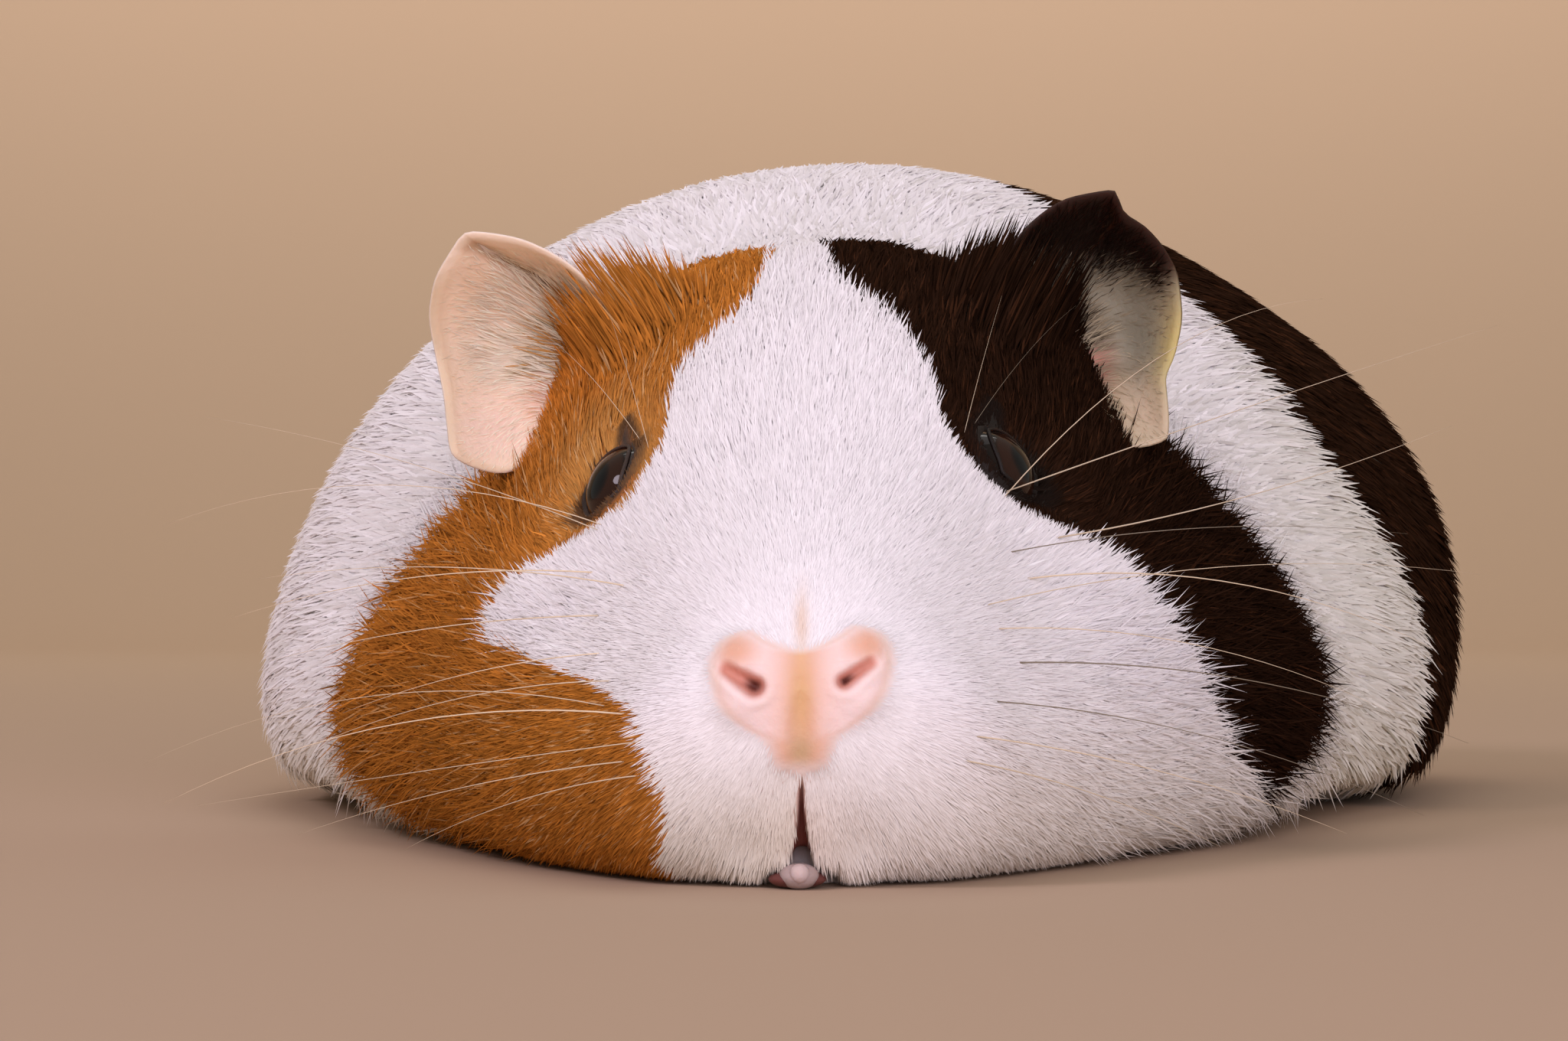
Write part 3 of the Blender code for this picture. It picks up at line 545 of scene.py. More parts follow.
surface = even_out(skin_net())
normals = net_normals(surface)
eyes = {word: eye_frame(word) for word in SIDES}
side, back, up = where_on_animal(surface)
angle, away = chart(side, back, up)
depth = curve(DEPTH, away)
depth = np.where(up < 6.0, np.minimum(depth, 1.0), depth)
skin_points = surface - normals * depth[..., None] * MM
side, back, up = where_on_animal(skin_points)
front = (1 - fade(7.0, 10.0, back)) * (1 - fade(10.0, 13.0, np.abs(side)))
skin_points = skin_points + normals * (nose_relief(side, up) * front)[..., None] * MM
skin_points, eye_gap, eye_corner_shade = shape_lids(skin_points, eyes)
edge = skin_points[NOSE_TIP_ROWS]
nose_tip = edge.mean(axis=0)
for row in range(NOSE_TIP_ROWS):
    skin_points[row] = nose_tip + (edge - nose_tip) * (row + 0.5) / (NOSE_TIP_ROWS + 0.5)
normals = net_normals(skin_points)


def lie_of_coat(points, normals, angle, away):
    """Direction in which the hair points, along the skin."""
    along = unit(np.gradient(points, axis=0))
    round_ = unit(np.roll(points, -1, axis=1) - np.roll(points, 1, axis=1))
    sag = np.sin(np.radians(np.abs(angle))) * np.sign(angle)
    rise = hill(np.abs(angle) - 42.0, 26.0, away - 58.0, 20.0)
    sweep = 0.10 + 0.22 * fade(60.0, 120.0, away) - 0.75 * rise
    flow = along + round_ * (sag * sweep)[..., None]
    return unit(flow - normals * (flow * normals).sum(-1, keepdims=True))


# ---------------------------------------------------------------- ears, feet, lip and lids
# Root line of an ear, and the rim of each from the upper end of the root round to its lower end, as
# (side, back, up)
EAR_ROOT = ((14.8, 57.5, 43.6), (20.5, 64.0, 42.0), (23.4, 55.6, 35.2))
EAR_RIM = {
    "right": ((15.6, 57, 44.4), (19, 56.2, 48.6), (21.7, 56.4, 51.1), (25.9, 56.2, 53.1),
              (29.2, 55.8, 53.6), (31.2, 56.8, 51.8), (32.8, 58.2, 49.3), (33.4, 59.5, 46.5),
              (33.1, 60.3, 43.5), (32.5, 59.2, 40.5), (31.9, 56, 37.5), (31.1, 53, 34.6), (27.4, 54.6, 33),
              (24, 55.4, 34.4)),
    "left": ((13.7, 58.1, 43.5), (15.9, 58.1, 48.8), (18.7, 58.1, 52.3), (22.2, 58.1, 54.2),
             (25.6, 58.1, 54.6), (26.5, 59.1, 52.8), (28.3, 60.1, 51.5), (29.9, 61.1, 49.6),
             (31, 62.1, 47.1), (31.2, 62.7, 44.3), (30.5, 62.5, 41), (29.4, 59.9, 38.2),
             (29.4, 57.3, 35.6), (29.2, 56, 33.4), (26.6, 54.8, 32.6), (24, 55.2, 34.4)),
}
EAR_HEIGHTS = (53.0, 20.0)   # from the top of an ear down
EAR_CREASE = {"right": ((29.4, 52.8), (23.6, 49.6)), "left": ((26.2, 53.3), (23.0, 49.3))}
EAR_CUP = 4.4
EAR_CURL = 1.6
EAR_ROOT_THICK = 1.2
EAR_RIM_THICK = 0.5
EAR_NET = (34, 60)
EAR_INSIDE = -0.55


def along_line(points, share):
    """Points at shares of the length of a smooth line through the given ones."""
    points = np.array(points, float)
    gone = np.concatenate([[0.0], np.cumsum(np.linalg.norm(np.diff(points, axis=0), axis=1))])
    return np.stack([curve(list(zip(gone / gone[-1], column)), share) for column in points.T], axis=-1)


def bow(points, share):
    """Points on the curve through three points."""
    first, middle, last = (np.array(p, float) for p in points)
    control = 2 * middle - (first + last) / 2
    share = share[..., None]
    return (1 - share) ** 2 * first + 2 * share * (1 - share) * control + share ** 2 * last


def ear_parts(word):
    """Verts, faces and facts of one ear: how far out, round and down each vert is, and on which side."""
    hand = SIDES[word]
    across, along = EAR_NET
    out, turn = np.meshgrid(np.linspace(EAR_INSIDE, 1.0, across), np.linspace(0.0, 1.0, along))
    reach = np.maximum(out, 0.0)
    point = bow(EAR_ROOT, turn) * (1 - out[..., None]) + along_line(EAR_RIM[word], turn) * out[..., None]
    low = np.clip((EAR_HEIGHTS[0] - point[..., 2]) / EAR_HEIGHTS[1], 0, 1)
    crease, _ = segment_distance(point[..., 0], point[..., 2], *EAR_CREASE[word])
    point[..., 1] += (EAR_CUP * np.sin(np.pi * reach) - EAR_CURL * reach ** 4) * np.sin(np.pi * turn)
    ridges = 0.55 * hill(low - 0.56 - 0.10 * out, 0.035, out - 0.35, 0.30)
    ridges += (0.45 * hill(low - 0.72, 0.045, out - 0.40, 0.25)
               + 0.35 * hill(low - 0.30 - 0.2 * out, 0.06, out - 0.5, 0.3))
    ridges -= 1.4 * hill(low - 0.60, 0.16, out - 0.02, 0.16)
    ridges -= 0.7 * hill(crease, 0.5, 0.0, 1.0)
    middle = place(hand * point[..., 0], point[..., 1], point[..., 2])
    normal = unit(np.cross(np.gradient(middle, axis=1), np.gradient(middle, axis=0)))
    normal *= np.where(normal[..., 1:2] > 0, -1.0, 1.0)
    rim = np.minimum(1 - out, np.minimum(turn, 1 - turn) * 4)
    thick = EAR_RIM_THICK + (EAR_ROOT_THICK - EAR_RIM_THICK) * fade(0.0, 0.6, 1 - out)
    thick = thick * np.sqrt(fade(-0.02, 0.06, rim))
    front = middle + normal * ((thick / 2 + ridges * fade(0.0, 0.12, rim))[..., None] * MM)
    rear = middle - normal * (thick / 2)[..., None] * MM
    verts = np.concatenate([front.reshape(-1, 3), rear.reshape(-1, 3)])
    faces = []
    half = across * along
    flip = hand < 0
    for j in range(along - 1):
        for i in range(across - 1):
            quad = (j * across + i, j * across + i + 1, (j + 1) * across + i + 1, (j + 1) * across + i)
            faces.append(quad if flip else quad[::-1])
            back_quad = tuple(half + q for q in quad)
            faces.append(back_quad[::-1] if flip else back_quad)
    edge = ([(0, i) for i in range(across)] + [(j, across - 1) for j in range(1, along)]
            + [(along - 1, i) for i in range(across - 2, -1, -1)] + [(j, 0) for j in range(along - 2, 0, -1)])
    ids = [j * across + i for j, i in edge]
    for a, b in zip(ids, ids[1:] + ids[:1]):
        faces.append((a, half + a, half + b, b) if flip else (b, half + b, half + a, a))
    ear = {name: np.tile(values.ravel(), 2) for name, values in
           (("out", out), ("turn", turn), ("low", low), ("crease", crease))}
    return verts, faces, dict(ear, facing=np.concatenate([np.ones(half), np.zeros(half)]))


def merged_copy(name, levels):
    """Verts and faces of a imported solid, merged and rounded."""
    bm = bmesh.new()
    bm.from_mesh(frame["nodes"][name].data)
    bmesh.ops.remove_doubles(bm, verts=bm.verts, dist=0.00002)
    mesh = bpy.data.meshes.new(name)
    bm.to_mesh(mesh)
    bm.free()
    item = bpy.data.objects.new(name + "_copy", mesh)
    bpy.context.scene.collection.objects.link(item)
    rounder = item.modifiers.new("round", "SUBSURF")
    rounder.levels = rounder.render_levels = levels
    made = bpy.data.meshes.new_from_object(item.evaluated_get(bpy.context.evaluated_depsgraph_get()))
    verts = points_of(made)
    faces = [tuple(p.vertices) for p in made.polygons]
    bpy.data.objects.remove(item)
    return verts, faces


def ball_parts(centre, radii, around, steps, spin=None):
    """Verts and faces of a closed ball about a point, radii in millimetres."""
    lean = np.pi * (np.arange(steps) + 1) / (steps + 1)
    turn = 2 * np.pi * np.arange(around) / around
    ring = np.stack([np.sin(lean)[:, None] * np.cos(turn), np.sin(lean)[:, None] * np.sin(turn),
                     np.repeat(np.cos(lean)[:, None], around, axis=1)], axis=-1).reshape(-1, 3)
    verts = np.concatenate([[(0, 0, 1.0), (0, 0, -1.0)], ring]) * np.array(radii) * MM
    if spin is not None:
        verts = verts @ spin.T
    return verts + centre, net_faces(steps, around)


LID_RIM = (0.17, 0.13)      # half width and half thickness of the lids' rounded rim
LID_RIM_NET = (72, 10)
LID_RIM_LIES = 0.12         # height of its middle over the eyeball


def lid_parts(word):
    """Verts and faces of the rounded rim of the lids, lying on the eyeball."""
    centre, out, ahead, upward = eyes[word]
    around, sides = LID_RIM_NET
    turn = 2 * np.pi * np.arange(around) / around
    lean = np.arcsin(np.minimum(opening(np.cos(turn), np.sin(turn)) / (EYE_RADIUS + 0.1), 0.95))
    axis = ahead[None] * np.cos(turn)[:, None] + upward[None] * np.sin(turn)[:, None]
    ray = axis * np.sin(lean)[:, None] + out * np.cos(lean)[:, None]
    spine = centre + ray * (EYE_RADIUS + LID_RIM_LIES) * MM
    across = axis * np.cos(lean)[:, None] - out * np.sin(lean)[:, None]
    spin = 2 * np.pi * np.arange(sides) / sides
    verts = (spine[:, None] + across[:, None] * (LID_RIM[0] * np.cos(spin))[None, :, None] * MM
             + ray[:, None] * (LID_RIM[1] * np.sin(spin))[None, :, None] * MM).reshape(-1, 3)
    faces = []
    for a in range(around):
        b = (a + 1) % around
        for k in range(sides):
            n = (k + 1) % sides
            faces.append((a * sides + k, a * sides + n, b * sides + n, b * sides + k))
    return verts, faces


SKIN_COLOURS = {"ear_inside": np.array((1.0, 0.77, 0.58)), "ear_rim": np.array((0.62, 0.44, 0.24)),
                "black_ear": np.array((0.022, 0.013, 0.009)), "grey_ear": np.array((0.36, 0.33, 0.24)),
                "foot": np.array((0.72, 0.44, 0.36)), "lid": np.array((0.045, 0.032, 0.026))}
LEFT_LID_SHADE = 0.3   # the lids of the eye in the black patch are darker by this


def lid_colour(word):
    """Colour of the lids of one eye."""
    return SKIN_COLOURS["lid"] * (1.0 if word == "right" else LEFT_LID_SHADE)


def skin_paint(points, angle, away, eye_gap, eye_corner_shade):
    """Colour of the skin net at each point, and how far it is the bare nose pad."""
    side, back, up = where_on_animal(points)
    colour = UNDER_COLOURS[markings(side, back, up)]
    front = (1 - fade(7.0, 9.5, back)) * (1 - fade(8.5, 10.0, np.abs(side)))
    inside = pad_inside(side, up)
    pad = pad_share(side, up) * front
    wide = np.abs(side)
    peach = np.maximum.reduce([hill(wide, 1.9, 0.0, 1.0), hill(wide - 4.8, 1.7, up - 17.5, 1.3),
                               1 - fade(10.4, 12.2, up), 0.8 * hill(inside - 0.35, 0.50, 0.0, 1.0)])
    pink = blend(np.broadcast_to(NOSE_PALE, colour.shape), NOSE_PEACH, np.minimum(peach, 1.0))
    pink = blend(pink, NOSE_PEACH * (0.94, 0.86, 0.82), 0.7 * hill(wide - 4.9, 1.2, up - 17.5, 0.9))
    pink = blend(pink, STAIN, 0.80 * hill(side, 0.9, up - 13.8, 3.4))
    pink = blend(pink, STAIN * (0.70, 0.80, 0.90), 0.7 * hill(side, 0.9, up - 10.0, 1.2))
    colour = blend(colour, pink, pad)
    colour = blend(colour, STAIN * 1.2, 0.45 * hill(side, 0.35, up - 18.6, 2.0) * front)
    for hand, (start, end, open_, _) in NOSTRIL.items():
        gap, share = segment_distance(side * hand, up, start, end)
        half = open_ * (1 - NOSTRIL_TAPER * share)
        flush = 0.85 * (1 - fade(half * 0.8, half + 0.65, gap)) * front
        colour = blend(colour, NOSTRIL_RED * (2.5, 4.2, 4.2), flush)
        # painted shade: the inner end of each nostril's hole darkened almost to black
        deep = (1 - fade(0.3 * half, half + 0.10, gap)) * front * (1 - fade(0.05, 0.50, share))
        colour = blend(colour, NOSTRIL_RED * 0.45, deep)
    lips = (1 - fade(1.5, 5.0, wide)) * (1 - fade(7.8, 9.6, up)) * front
    colour = blend(colour, LIP_PINK, 0.9 * lips)
    half = curve(CLEFT_HALF_WIDTH, up)
    # the cleft of the upper lip: partly its own colour, partly painted shade
    cleft = (1 - fade(half, half + 0.30, wide)) * (1 - fade(7.0, 8.2, up)) * front
    colour = blend(colour, MOUTH_DARK_AND_SHADE, cleft)
    # the mouth's opening below the lips: partly its own colour, partly painted shade
    mouth = np.minimum(1.4 * hill(side, 2.6, up - 0.4, 1.3) * front, 1.0)
    colour = blend(colour, MOUTH_DARK_AND_SHADE, mouth)
    # the lids' own dark colour round each opening, and painted shade over the upper corner of each eye
    rim = np.maximum(1 - fade(0.3, 1.1, eye_gap), 1 - fade(-0.3, 0.5, eye_corner_shade))
    lid = np.where((side < 0)[..., None], lid_colour("right"), lid_colour("left"))
    return blend(colour, lid, rim), pad


def ear_paint(word, out, low, facing, crease):
    """Colour of an ear's skin by how far out and down it is."""
    edge = 1 - out
    rim = 1 - fade(0.01, 0.10, edge)
    colour = np.broadcast_to(SKIN_COLOURS["ear_inside"], (len(out), 3))
    # the ear canal: partly its own deeper red, partly painted shade in the hollow
    canal_tone_and_shade = hill(out - 0.16, 0.22, low - 0.66, 0.12)
    # painted shade: darker along the ear's crease
    fold_shade = hill(crease, 0.50, 0.0, 1.0)
    if word == "right":
        colour = blend(colour, (0.88, 0.80, 0.66), 0.7 * hill(low - 0.48, 0.13, out - 0.45, 0.4))
        colour = blend(colour, (0.96, 0.70, 0.60), 0.8 * hill(low - 0.82, 0.18, out - 0.6, 0.4))
        colour = blend(colour, (0.66, 0.34, 0.26), 0.7 * canal_tone_and_shade)
        colour = blend(colour, (0.40, 0.22, 0.11), 0.85 * fold_shade)
        colour = blend(colour, SKIN_COLOURS["ear_rim"], 0.5 * rim * fade(0.08, 0.2, low))
        rear = np.tile(np.array((0.90, 0.74, 0.64)), (len(out), 1))
    else:
        colour = blend(np.broadcast_to(SKIN_COLOURS["grey_ear"], colour.shape), (0.62, 0.48, 0.33),
                       fade(0.55, 0.85, low))
        colour = blend(colour, (0.60, 0.22, 0.16), 0.9 * canal_tone_and_shade)
        colour = blend(colour, (0.66, 0.52, 0.20), hill(1 - out, 0.14, low - 0.56, 0.20))
        band = (1 - fade(0.14, 0.30, edge)) * (1 - fade(0.22, 0.36, low))
        lobe = np.maximum(1 - fade(0.12, 0.28, low), band) * fade(0.0, 0.2, out)
        colour = blend(colour, SKIN_COLOURS["black_ear"], np.maximum(lobe, 0.6 * fold_shade))
        rear = blend(np.tile(SKIN_COLOURS["black_ear"], (len(out), 1)), colour, 0.7 * fade(0.45, 0.65, low))
    return blend(rear, colour, facing)


# The dark fold of the lower lip (partly its own colour, partly painted shade), the pale mound in its middle
# and the bead on top, each as its place, its radii and its colour
LIP_BALLS = (((-0.35, 5.2, 0.70), (2.1, 2.2, 0.70), LIP_DARK_AND_SHADE),
             ((-0.20, 4.3, 0.95), (1.45, 1.8, 0.95), LIP_GREY),
             ((-0.15, 3.0, 1.20), (0.72, 0.8, 0.72), LIP_GREY * 1.35))
LIP_BALL_NET = (32, 18)
FOOT_CLEARS = 0.05 * MM
EAR_CLOSE = 7.0   # hair this close to an ear's root turns toward the ear


def sweep_to_ears(points, flow):
    """Turn the hair beside the upper part of each ear's root over the ear; also how close each place is
    to that part and to the lower part."""
    close = np.zeros(points.shape[:-1])
    below = np.zeros(points.shape[:-1])
    for word, hand in SIDES.items():
        down = np.linspace(0.0, 1.0, 24)
        root, edge = bow(EAR_ROOT, down), along_line(EAR_RIM[word], down)
        line = place(hand * root[:, 0], root[:, 1] - 2.5, root[:, 2])
        out = unit((place(hand * edge[:, 0], edge[:, 1], edge[:, 2]) - line).mean(axis=0) + (0, 0, 0.004))
        gaps = np.linalg.norm(points[:, :, None] - line, axis=-1) / MM
        near, where = 1 - fade(1.5, EAR_CLOSE, gaps.min(axis=-1)), down[gaps.argmin(axis=-1)]
        below = np.maximum(below, near * fade(0.40, 0.60, where))
        near = near * (1 - 0.85 * fade(0.35, 0.7, where))
        flow = unit(flow + 1.6 * out * near[..., None])
        close = np.maximum(close, near)
    return flow, close, below


def toward_eye(points, flow):
    """How much the hair at each place points at the nearer eye."""
    side = where_on_animal(points)[0]
    eye = np.where(side[..., None] < 0, eyes["right"][0], eyes["left"][0])
    return (unit(eye - points) * flow).sum(-1)


flow, at_ear, below_ear = sweep_to_ears(skin_points, lie_of_coat(skin_points, normals, angle, away))


# What each part of the skin is
NET, EAR_RIGHT, EAR_LEFT, FEET, LID_RIMS, LIPS = range(6)
EARS = {"right": EAR_RIGHT, "left": EAR_LEFT}
FAR_OFF = {"eye_gap": 1e3, "eye_corner_shade": 1e3}   # values of the parts that have none of their own, otherwise 0


def build_skin():
    """One skin for all the flesh, from the net, the ears, the feet, the lip and the lids."""
    def with_ends(values):
        values = values.reshape(-1, *values.shape[2:])
        return np.concatenate([values[:1], values[-1:], values])

    ends = [skin_points[0].mean(axis=0), skin_points[-1].mean(axis=0)]
    colour, pad = skin_paint(skin_points, angle, away, eye_gap, eye_corner_shade)
    on_net = dict(colour=colour, away=away, angle=angle, eye_gap=eye_gap, eye_corner_shade=eye_corner_shade, pad=pad,
                  at_ear=at_ear, below_ear=below_ear, toward_eye=toward_eye(skin_points, flow))
    parts = [dict(verts=np.concatenate([ends, skin_points.reshape(-1, 3)]),
                  faces=net_faces(len(skin_points), AROUND), kind=NET,
                  flow=np.concatenate([[(0, 0, -1.0), (0, 0, -1.0)], flow.reshape(-1, 3)]),
                  normal=np.concatenate([[(0, -1.0, 0), (0, 1.0, 0)], normals.reshape(-1, 3)]),
                  **{name: with_ends(values) for name, values in on_net.items()})]
    for word in SIDES:
        verts, faces, ear = ear_parts(word)
        across, along = EAR_NET
        grid = verts[:across * along].reshape(along, across, 3)
        outward = unit(np.gradient(grid, axis=1) + 0.25 * np.gradient(grid, axis=0)).reshape(-1, 3)
        normal = unit(np.cross(np.gradient(grid, axis=1), np.gradient(grid, axis=0))).reshape(-1, 3)
        normal *= np.where(normal[:, 1:2] > 0, -1.0, 1.0)
        colour = ear_paint(word, ear["out"], ear["low"], ear["facing"], ear["crease"])
        parts.append(dict(verts=verts, faces=faces, kind=EARS[word], flow=np.tile(outward, (2, 1)),
                          normal=np.concatenate([normal, -normal]), colour=colour, **ear))
        for foot in ("fore", "hind"):
            verts, faces = merged_copy(f"{foot}_foot_{word}", 1)
            verts[:, 2] = np.maximum(verts[:, 2], FOOT_CLEARS)
            parts.append(dict(verts=verts, faces=faces, kind=FEET, flow=(0, -1.0, -0.2),
                              normal=unit(verts - verts.mean(axis=0)), colour=SKIN_COLOURS["foot"]))
        verts, faces = lid_parts(word)
        parts.append(dict(verts=verts, faces=faces, kind=LID_RIMS, colour=lid_colour(word)))
    for centre, radii, shade in LIP_BALLS:
        verts, faces = ball_parts(place(*centre), radii, *LIP_BALL_NET)
        parts.append(dict(verts=verts, faces=faces, kind=LIPS, colour=shade))
    item = mesh_object("skin", *joined([(part["verts"], part["faces"]) for part in parts]))

    def gather(name, *width):
        cells = [np.asarray(part.get(name, FAR_OFF.get(name, 0.0)), float) for part in parts]
        return np.concatenate([np.broadcast_to(cell, (len(part["verts"]), *width))
                               for cell, part in zip(cells, parts)])

    put(item.data, "skin_colour", "FLOAT_COLOR", gather("colour", 3))
    put(item.data, "flow", "FLOAT_VECTOR", gather("flow", 3))
    put(item.data, "outward", "FLOAT_VECTOR", gather("normal", 3))
    names = ("kind", "away", "angle", "eye_gap", "eye_corner_shade", "pad", "out", "turn", "low", "facing",
             "at_ear", "below_ear", "toward_eye")
    return item, {name: gather(name) for name in names}


skin, facts = build_skin()


# ---------------------------------------------------------------- coat
# One tuft is a slim closed spindle one unit long: root, three points round its widest place, and tip
TUFT_WIDEST = 0.40
TUFT_THICK = 0.011
TUFT_BULGE = 0.004
TUFT_TIP_BEND = -0.01
TUFT_LEANS = (-0.12, 0.0, 0.13)
TUFT_VERTS = 5
TUFT_FACES = 6
TUFT_UNDERSIDE = (1, 4)


def tuft_shapes():
    """Three tufts: bent left, straight and bent right."""
    shelf = bpy.data.collections.new("tuft_shapes")
    bpy.context.scene.collection.children.link(shelf)
    low = TUFT_BULGE - TUFT_THICK / 2
    for number, lean in enumerate(TUFT_LEANS):
        drift = lean * TUFT_WIDEST ** 2
        verts = [(0, 0, 0), (TUFT_BULGE + TUFT_THICK / 2, drift, TUFT_WIDEST),
                 (low, drift + 0.5, TUFT_WIDEST), (low, drift - 0.5, TUFT_WIDEST), (TUFT_TIP_BEND, lean, 1.0)]
        faces = [(1, 2, 4), (2, 3, 4), (3, 1, 4), (2, 1, 0), (3, 2, 0), (1, 3, 0)]
        mesh = bpy.data.meshes.new(f"tuft_{number}")
        mesh.from_pydata(verts, [], faces)
        mesh.shade_smooth()
        put(mesh, "along", "FLOAT", [v[2] for v in verts])
        shelf.objects.link(bpy.data.objects.new(f"tuft_{number}", mesh))
    return shelf


def coat_tree(shelf):
    """Node tree that grows tufts on the faces of one region of the skin."""
    tree = bpy.data.node_groups.new("coat", "GeometryNodeTree")
    for name, kind in (("Skin", "Geometry"), ("Region", "Int"), ("Density", "Float"), ("Length", "Float"),
                       ("Width", "Float"), ("Lift", "Float"), ("Stray", "Float"), ("Seed", "Int"),
                       ("Hair", "Material")):
        tree.interface.new_socket(name, in_out="INPUT", socket_type="NodeSocket" + kind)
    tree.interface.new_socket("Coat", in_out="OUTPUT", socket_type="NodeSocketGeometry")
    nodes = tree.nodes

    def add(kind, **settings):
        node = nodes.new(kind)
        for key, value in settings.items():
            setattr(node, key, value)
        return node

    def join(source, target):
        tree.links.new(source, target)

    def attribute(name, kind="FLOAT"):
        node = add("GeometryNodeInputNamedAttribute", data_type=kind)
        node.inputs["Name"].default_value = name
        return node.outputs["Attribute"]

    def maths(operation, a, b):
        node = add("ShaderNodeMath", operation=operation)
        for socket, value in zip(node.inputs, (a, b)):
            if isinstance(value, (int, float)):
                socket.default_value = value
            else:
                join(value, socket)
        return node.outputs[0]

    def vector(operation, a, b=None, scale=None):
        node = add("ShaderNodeVectorMath", operation=operation)
        join(a, node.inputs[0])
        if b is not None:
            join(b, node.inputs[1])
        if scale is not None:
            join(scale, node.inputs["Scale"])
        return node.outputs[0]

    def chance(low, high, step):
        node = add("FunctionNodeRandomValue", data_type="FLOAT")
        node.inputs[2].default_value, node.inputs[3].default_value = low, high
        join(maths("ADD", given.outputs["Seed"], float(step)), node.inputs["Seed"])
        return node.outputs[1]

    given = add("NodeGroupInput")
    result = add("NodeGroupOutput")
    here = add("FunctionNodeCompare", data_type="INT", operation="EQUAL")
    join(attribute("region", "INT"), here.inputs[2])
    join(given.outputs["Region"], here.inputs[3])
    scatter = add("GeometryNodeDistributePointsOnFaces", distribute_method="RANDOM")
    join(given.outputs["Skin"], scatter.inputs["Mesh"])
    join(here.outputs[0], scatter.inputs["Selection"])
    join(maths("MULTIPLY", attribute("density"), given.outputs["Density"]), scatter.inputs["Density"])
    join(given.outputs["Seed"], scatter.inputs["Seed"])
    keep = add("GeometryNodeStoreNamedAttribute", data_type="FLOAT_VECTOR", domain="POINT")
    keep.inputs["Name"].default_value = "root"
    join(scatter.outputs["Points"], keep.inputs["Geometry"])
    join(add("GeometryNodeInputPosition").outputs[0], keep.inputs["Value"])

    flow_way, outward = attribute("flow", "FLOAT_VECTOR"), attribute("outward", "FLOAT_VECTOR")
    sideways = vector("CROSS_PRODUCT", flow_way, outward)
    stray = maths("MULTIPLY", chance(-1.0, 1.0, 1), given.outputs["Stray"])
    lift = maths("MULTIPLY", given.outputs["Lift"], chance(0.45, 1.55, 2))
    lift = maths("MULTIPLY", attribute("lift"), lift)
    way = vector("ADD", flow_way, vector("SCALE", sideways, scale=stray))
    way = vector("ADD", way, vector("SCALE", outward, scale=lift))
    aim = add("FunctionNodeAlignRotationToVector", axis="Z")
    join(way, aim.inputs["Vector"])
    turn = add("FunctionNodeAlignRotationToVector", axis="X", pivot_axis="Z")
    join(aim.outputs[0], turn.inputs["Rotation"])
    join(outward, turn.inputs["Vector"])

    length = maths("MULTIPLY", attribute("length"), given.outputs["Length"])
    length = maths("MULTIPLY", length, chance(0.70, 1.30, 3))
    width = maths("MULTIPLY", attribute("width"), given.outputs["Width"])
    width = maths("MULTIPLY", width, chance(0.7, 1.3, 4))
    size = add("ShaderNodeCombineXYZ")
    join(length, size.inputs[0])
    join(width, size.inputs[1])
    join(length, size.inputs[2])

    shapes = add("GeometryNodeCollectionInfo", transform_space="ORIGINAL")
    shapes.inputs["Collection"].default_value = shelf
    shapes.inputs["Separate Children"].default_value = True
    shapes.inputs["Reset Children"].default_value = True
    plant = add("GeometryNodeInstanceOnPoints")
    plant.inputs["Pick Instance"].default_value = True
    join(keep.outputs[0], plant.inputs["Points"])
    join(shapes.outputs[0], plant.inputs["Instance"])
    pick = add("FunctionNodeRandomValue", data_type="INT")
    pick.inputs[4].default_value, pick.inputs[5].default_value = 0, len(TUFT_LEANS) - 1
    join(given.outputs["Seed"], pick.inputs["Seed"])
    join(pick.outputs[2], plant.inputs["Instance Index"])
    join(turn.outputs[0], plant.inputs["Rotation"])
    join(size.outputs[0], plant.inputs["Scale"])
    real = add("GeometryNodeRealizeInstances")
    join(plant.outputs[0], real.inputs[0])
    finish = add("GeometryNodeSetMaterial")
    join(real.outputs[0], finish.inputs["Geometry"])
    join(given.outputs["Hair"], finish.inputs["Material"])
    join(finish.outputs[0], result.inputs[0])
    return tree


def grow(tree, name, base, settings):
    """Grow one piece of the coat and return it as a plain mesh."""
    holder = bpy.data.objects.new(name + "_base", base.data)
    bpy.context.scene.collection.objects.link(holder)
    modifier = holder.modifiers.new("coat", "NODES")
    modifier.node_group = tree
    for socket in tree.interface.items_tree:
        if socket.in_out == "INPUT" and socket.name in settings:
            modifier[socket.identifier] = settings[socket.name]
    evaluated = holder.evaluated_get(bpy.context.evaluated_depsgraph_get())
    mesh = bpy.data.meshes.new_from_object(evaluated)
    mesh.name = name
    bpy.data.objects.remove(holder)
    item = bpy.data.objects.new(name, mesh)
    bpy.context.scene.collection.objects.link(item)
    return item


PATCH = 0.003               # size of a tuft's patch of the coat's map
MAP_START = 0.01
MAP_REACH = 0.97
EAR_MAP_REACH = 0.47        # each side of an ear has half of its map
# How far each tuft's shading turns away from the skin's, on the nose and on the body
SOFT_SHADE = (0.07, 0.13)
ROUND_SHADE = 0.22          # how far its sides turn
TUFT_CLEARS = 0.1 * MM      # lowest point of a tuft over the floor


